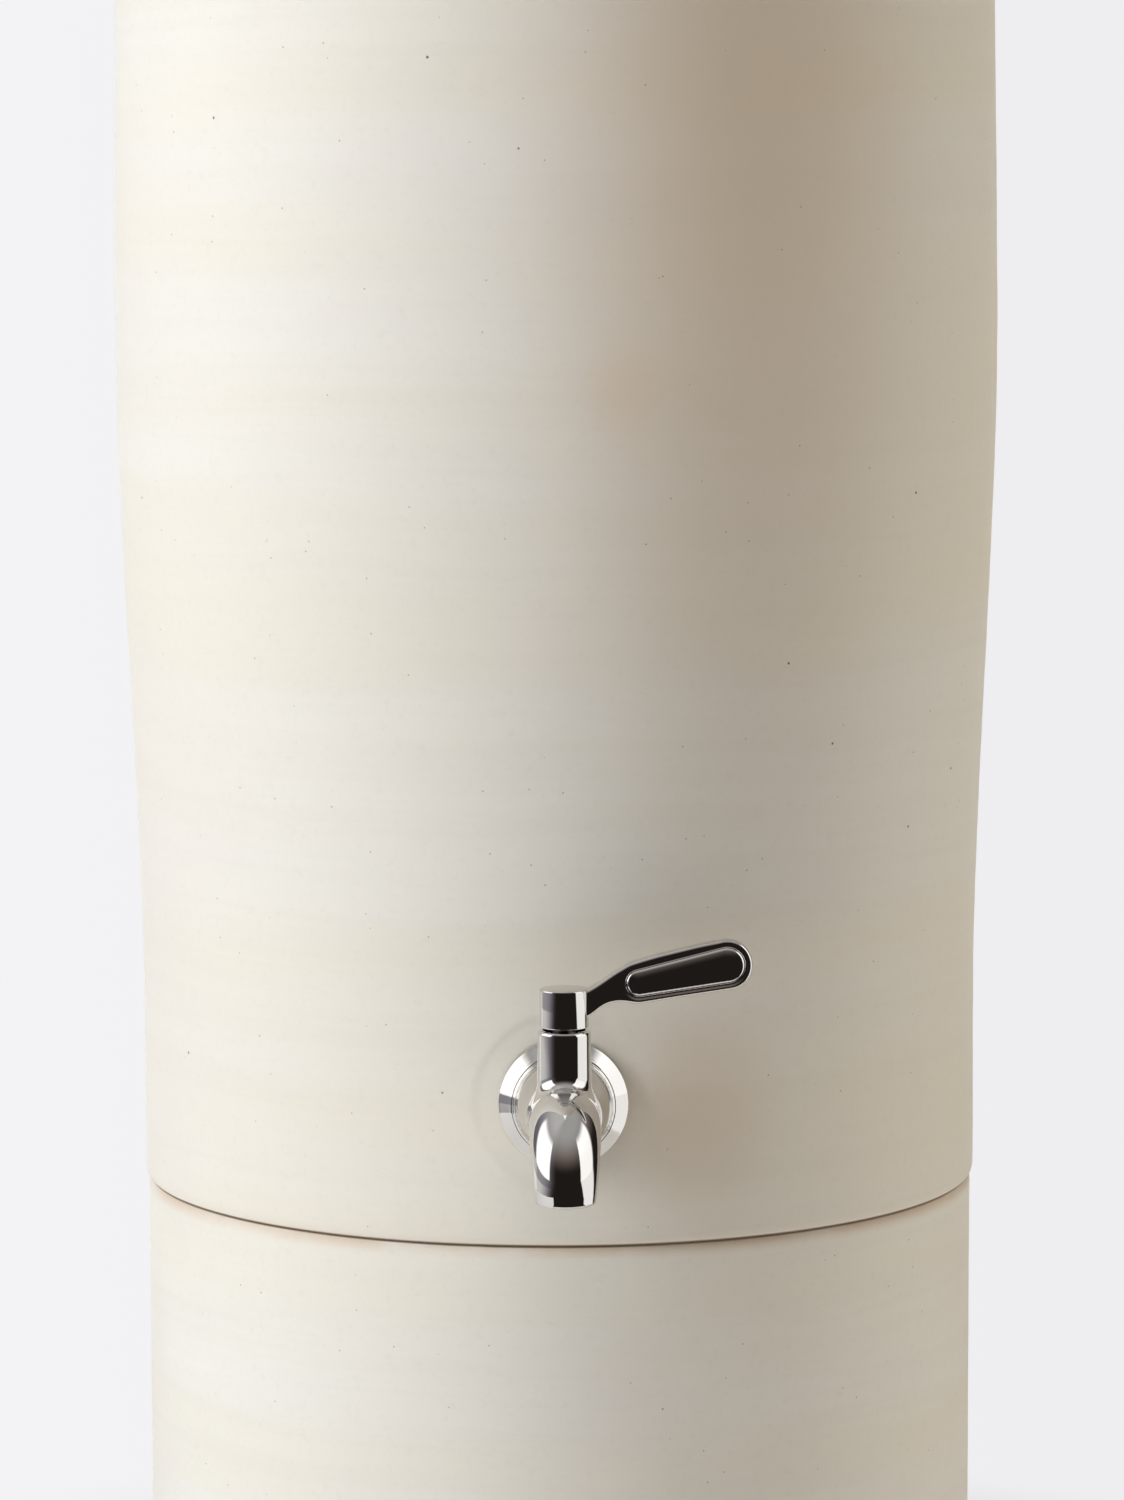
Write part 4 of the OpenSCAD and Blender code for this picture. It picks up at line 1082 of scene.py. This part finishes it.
# ------------------------------ Candles
# Two porous ceramic thimbles with carbon cores. Each is glued into a plastic base with a hollow threaded
# stem, which a wing nut draws down through the pot's floor.
CANDLE_R = 25 * MM
CANDLE_WALL = 7 * MM
SHELL_Z, SHELL_TOP = (corner.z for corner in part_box("candle_shells"))
BASE_R = 26.6 * MM
BASE_H = 13 * MM
STEM_R_OUT = 6 * MM
STEM_BORE = 3 * MM
RIBS = 24
BASE_CUP = 8 * MM
WING_H = 10.0  # the wing nut's sizes are in millimetres
WING_SPAN = 42.0
WING_T = 3.0
WING_HUB_R = 9.5
WING_STEP = 0.5


def ring_array_tree():
    """Copies a shape round the Z axis, each copy turned to face outwards."""
    tree, net, given = geometry_tree("ring_array", ["Geometry", "Count", "Radius", "Material"])
    points = net.add("GeometryNodeMeshLine", None, {"Count": given["Count"], "Offset": (0, 0, 0)})
    turn = net.add("GeometryNodeInputIndex") / given["Count"] * (2 * math.pi)
    put = net.vector(turn.maths("COSINE") * given["Radius"], turn.maths("SINE") * given["Radius"], 0.0)
    points = net.add("GeometryNodeSetPosition", None, {"Geometry": points, "Position": put})
    copies = net.add("GeometryNodeInstanceOnPoints", None, {
        "Points": points, "Instance": given["Geometry"], "Rotation": net.vector(0.0, 0.0, turn)})
    finish_tree(net, copies, given["Material"])
    return tree


RING_ARRAY = ring_array_tree()


def ring_of(piece, count, radius, material):
    """Several copies of a piece round the Z axis, in one mesh."""
    mesh, name = piece.data, piece.name
    bpy.data.objects.remove(piece)
    return run_tree(name, RING_ARRAY, mesh, {"Count": count, "Radius": radius, "Material": material})


CERAMIC = plain_finish("candle_ceramic", (0.84, 0.83, 0.79), 0.85, 700.0, 0.12 * MM, 0.05)
PLASTIC = plain_finish("white_plastic", (0.80, 0.81, 0.81), 0.36, 1500.0, 0.015 * MM, 0.03)
dress(plain_finish("pressed_carbon", (0.028, 0.028, 0.03), 0.9, 600.0, 0.3 * MM, 0.4), "carbon_cores")

dome_z = SHELL_TOP - CANDLE_R
core_r = CANDLE_R - CANDLE_WALL
shell = turned("candle_shell", (
    [(core_r, SHELL_Z), (CANDLE_R, SHELL_Z)] + straight((CANDLE_R, SHELL_Z), (CANDLE_R, dome_z), 4 * MM)
    + arc((0, dome_z), CANDLE_R, 0, 90, 20) + arc((0, dome_z), core_r, 90, 0, 14)
    + straight((core_r, dome_z), (core_r, SHELL_Z), 8 * MM)
), CERAMIC, closed=True, segments=72, rings=0.03 * MM, wander=0.08 * MM)
seat(ring_of(shell, 2, CANDLE_OUT, CERAMIC), "filter_chamber", "candle_clay", "candle_shells")

base_z = SHELL_Z - (BASE_H - BASE_CUP)
stem_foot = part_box("candle_bases")[0].z
socket_r = CANDLE_R + 0.05 * MM
stem_thread = (0.8 * MM, 2 * MM, STEM_R_OUT, stem_foot + 0.6 * MM, base_z - 8 * MM)
base = turned("candle_base", (
    [(STEM_BORE, stem_foot), (STEM_R_OUT - 0.9 * MM, stem_foot)]
    + straight((STEM_R_OUT, stem_foot + 0.9 * MM), (STEM_R_OUT, base_z), 0.3 * MM)
    + [(STEM_R_OUT, base_z)]
    + arc((BASE_R - 0.8 * MM, base_z + 0.8 * MM), 0.8 * MM, -90, 0, 5)
    + arc((BASE_R - 0.5 * MM, base_z + BASE_H - 0.5 * MM), 0.5 * MM, 0, 90, 4)
    + [(socket_r, base_z + BASE_H), (socket_r, SHELL_Z), (STEM_BORE, SHELL_Z)]
), PLASTIC, closed=True, segments=72, thread=stem_thread)
rib = drill("grip_ribs", 0.8 * MM, (0, 0, base_z + 1.5 * MM), (0, 0, base_z + BASE_H - 2.5 * MM), 12)
cut(base, ring_of(rib, RIBS, BASE_R, PLASTIC), "UNION")
bases = ring_of(base, 2, CANDLE_OUT, PLASTIC)
polish(bases)
seat(bases, "filter_chamber", "white_plastic", "candle_bases")


def wing_nut_field(points):
    """Distance in mm from the skin of a wing nut with two rounded ears."""
    x, y, z = points.T
    x = np.abs(x)
    ear_r = 0.62 * WING_H
    top = 0.8 * WING_H
    ear_x = WING_SPAN / 2 - ear_r
    plate = np.maximum(x - ear_x, np.abs(z - (top + 1) / 2) - (top - 1) / 2)
    outline = np.minimum(plate, np.hypot(x - ear_x, z - top + ear_r) - ear_r)
    ears = slab(outline, np.abs(y) - WING_T / 2, 0.7)
    body = slab(np.hypot(x, y) - WING_HUB_R, np.abs(z - WING_H / 2) - WING_H / 2, 0.6)
    return soft_union(ears, body, 1.4)


wing_low = (-22, -11, -6)
wing_high = (22, 11, 11)
wing = skin_mesh("candle_wing_nut", wing_nut_field, wing_low, wing_high, WING_STEP)
cut(wing, drill("nut_hole", STEM_R_OUT + 0.05 * MM, (0, 0, -20 * MM), (0, 0, 30 * MM), 48))
move(wing, Matrix.Translation((0, 0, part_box("candle_wing_nuts")[1].z - WING_H * MM)))
wings = ring_of(wing, 2, CANDLE_OUT, PLASTIC)
polish(wings)
seat(wings, "filter_chamber", "white_plastic", "candle_wing_nuts")


# ------------------------------ Lid
# A thrown lid with a round knob. The ring under it drops into the pot's mouth, and the wheel left shallow
# rings on its top.
LID_T = 9 * MM
LID_RISE = 5 * MM
KNOB_R = 18 * MM
KNOB_H = 25 * MM
LID_RING_H = 8 * MM
LID_RING_T = 7 * MM
LID_GAP = 2 * MM
LID_RINGS = 11
LID_RING_DEPTH = 0.25 * MM
LID_CREAM = (0.836, 0.806, 0.755)

lid_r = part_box("lid")[1].x
ring_out = chamber_in - LID_GAP
ring_in = ring_out - LID_RING_T
lid_top = LID_Z + LID_T + LID_RISE
cove = 0.3 * KNOB_H
knob_neck = 0.62 * KNOB_R
knob_round = 0.34 * KNOB_H
lid_edge = lid_r - RIM_ROUND
slope_run = lid_edge - knob_neck - cove


def lid_rise(t):
    """Height of the lid's top, from its edge at 0 to the knob at 1."""
    ring = math.sin(2 * math.pi * LID_RINGS * t) * math.sin(math.pi * t)
    return LID_Z + LID_T + LID_RISE * math.sin(math.pi / 2 * t) + LID_RING_DEPTH * ring


lid_profile = (
    [(0.0, LID_Z)] + straight((0.0, LID_Z), (ring_in, LID_Z), 8 * MM)
    + [(ring_in, LID_Z)]
    + arc((ring_in + 1 * MM, LID_Z - LID_RING_H + 1 * MM), 1 * MM, 180, 270, 4)
    + arc((ring_out - 2 * MM, LID_Z - LID_RING_H + 2 * MM), 2 * MM, -90, 0, 6)
    + [(ring_out, LID_Z)]
    + straight((ring_out, LID_Z), (lid_edge, LID_Z), 4 * MM)
    + arc((lid_edge, LID_Z + RIM_ROUND), RIM_ROUND, -90, 0)
    + arc((lid_edge, LID_Z + LID_T - RIM_ROUND), RIM_ROUND, 0, 84)
    + [(lid_edge - slope_run * t, lid_rise(t)) for t in np.linspace(0.01, 0.99, 130)]
    + arc((knob_neck + cove, lid_top + cove), cove, -90, -180, 10)
    + arc((KNOB_R - knob_round, lid_top + KNOB_H - knob_round), knob_round, -50, 84, 16)
    + straight((KNOB_R - knob_round, lid_top + KNOB_H), (0.0, lid_top + KNOB_H), 1.5 * MM)
    + [(0.0, lid_top + KNOB_H)]
)
lid_clay = stoneware("stoneware_lid", [FLANGE_TOP], LID_CREAM)
lid = turned("thrown_lid", lid_profile, lid_clay, segments=240, rings=0.06 * MM, wander=0.12 * MM)
seat(lid, "lid", "clay", "lid")
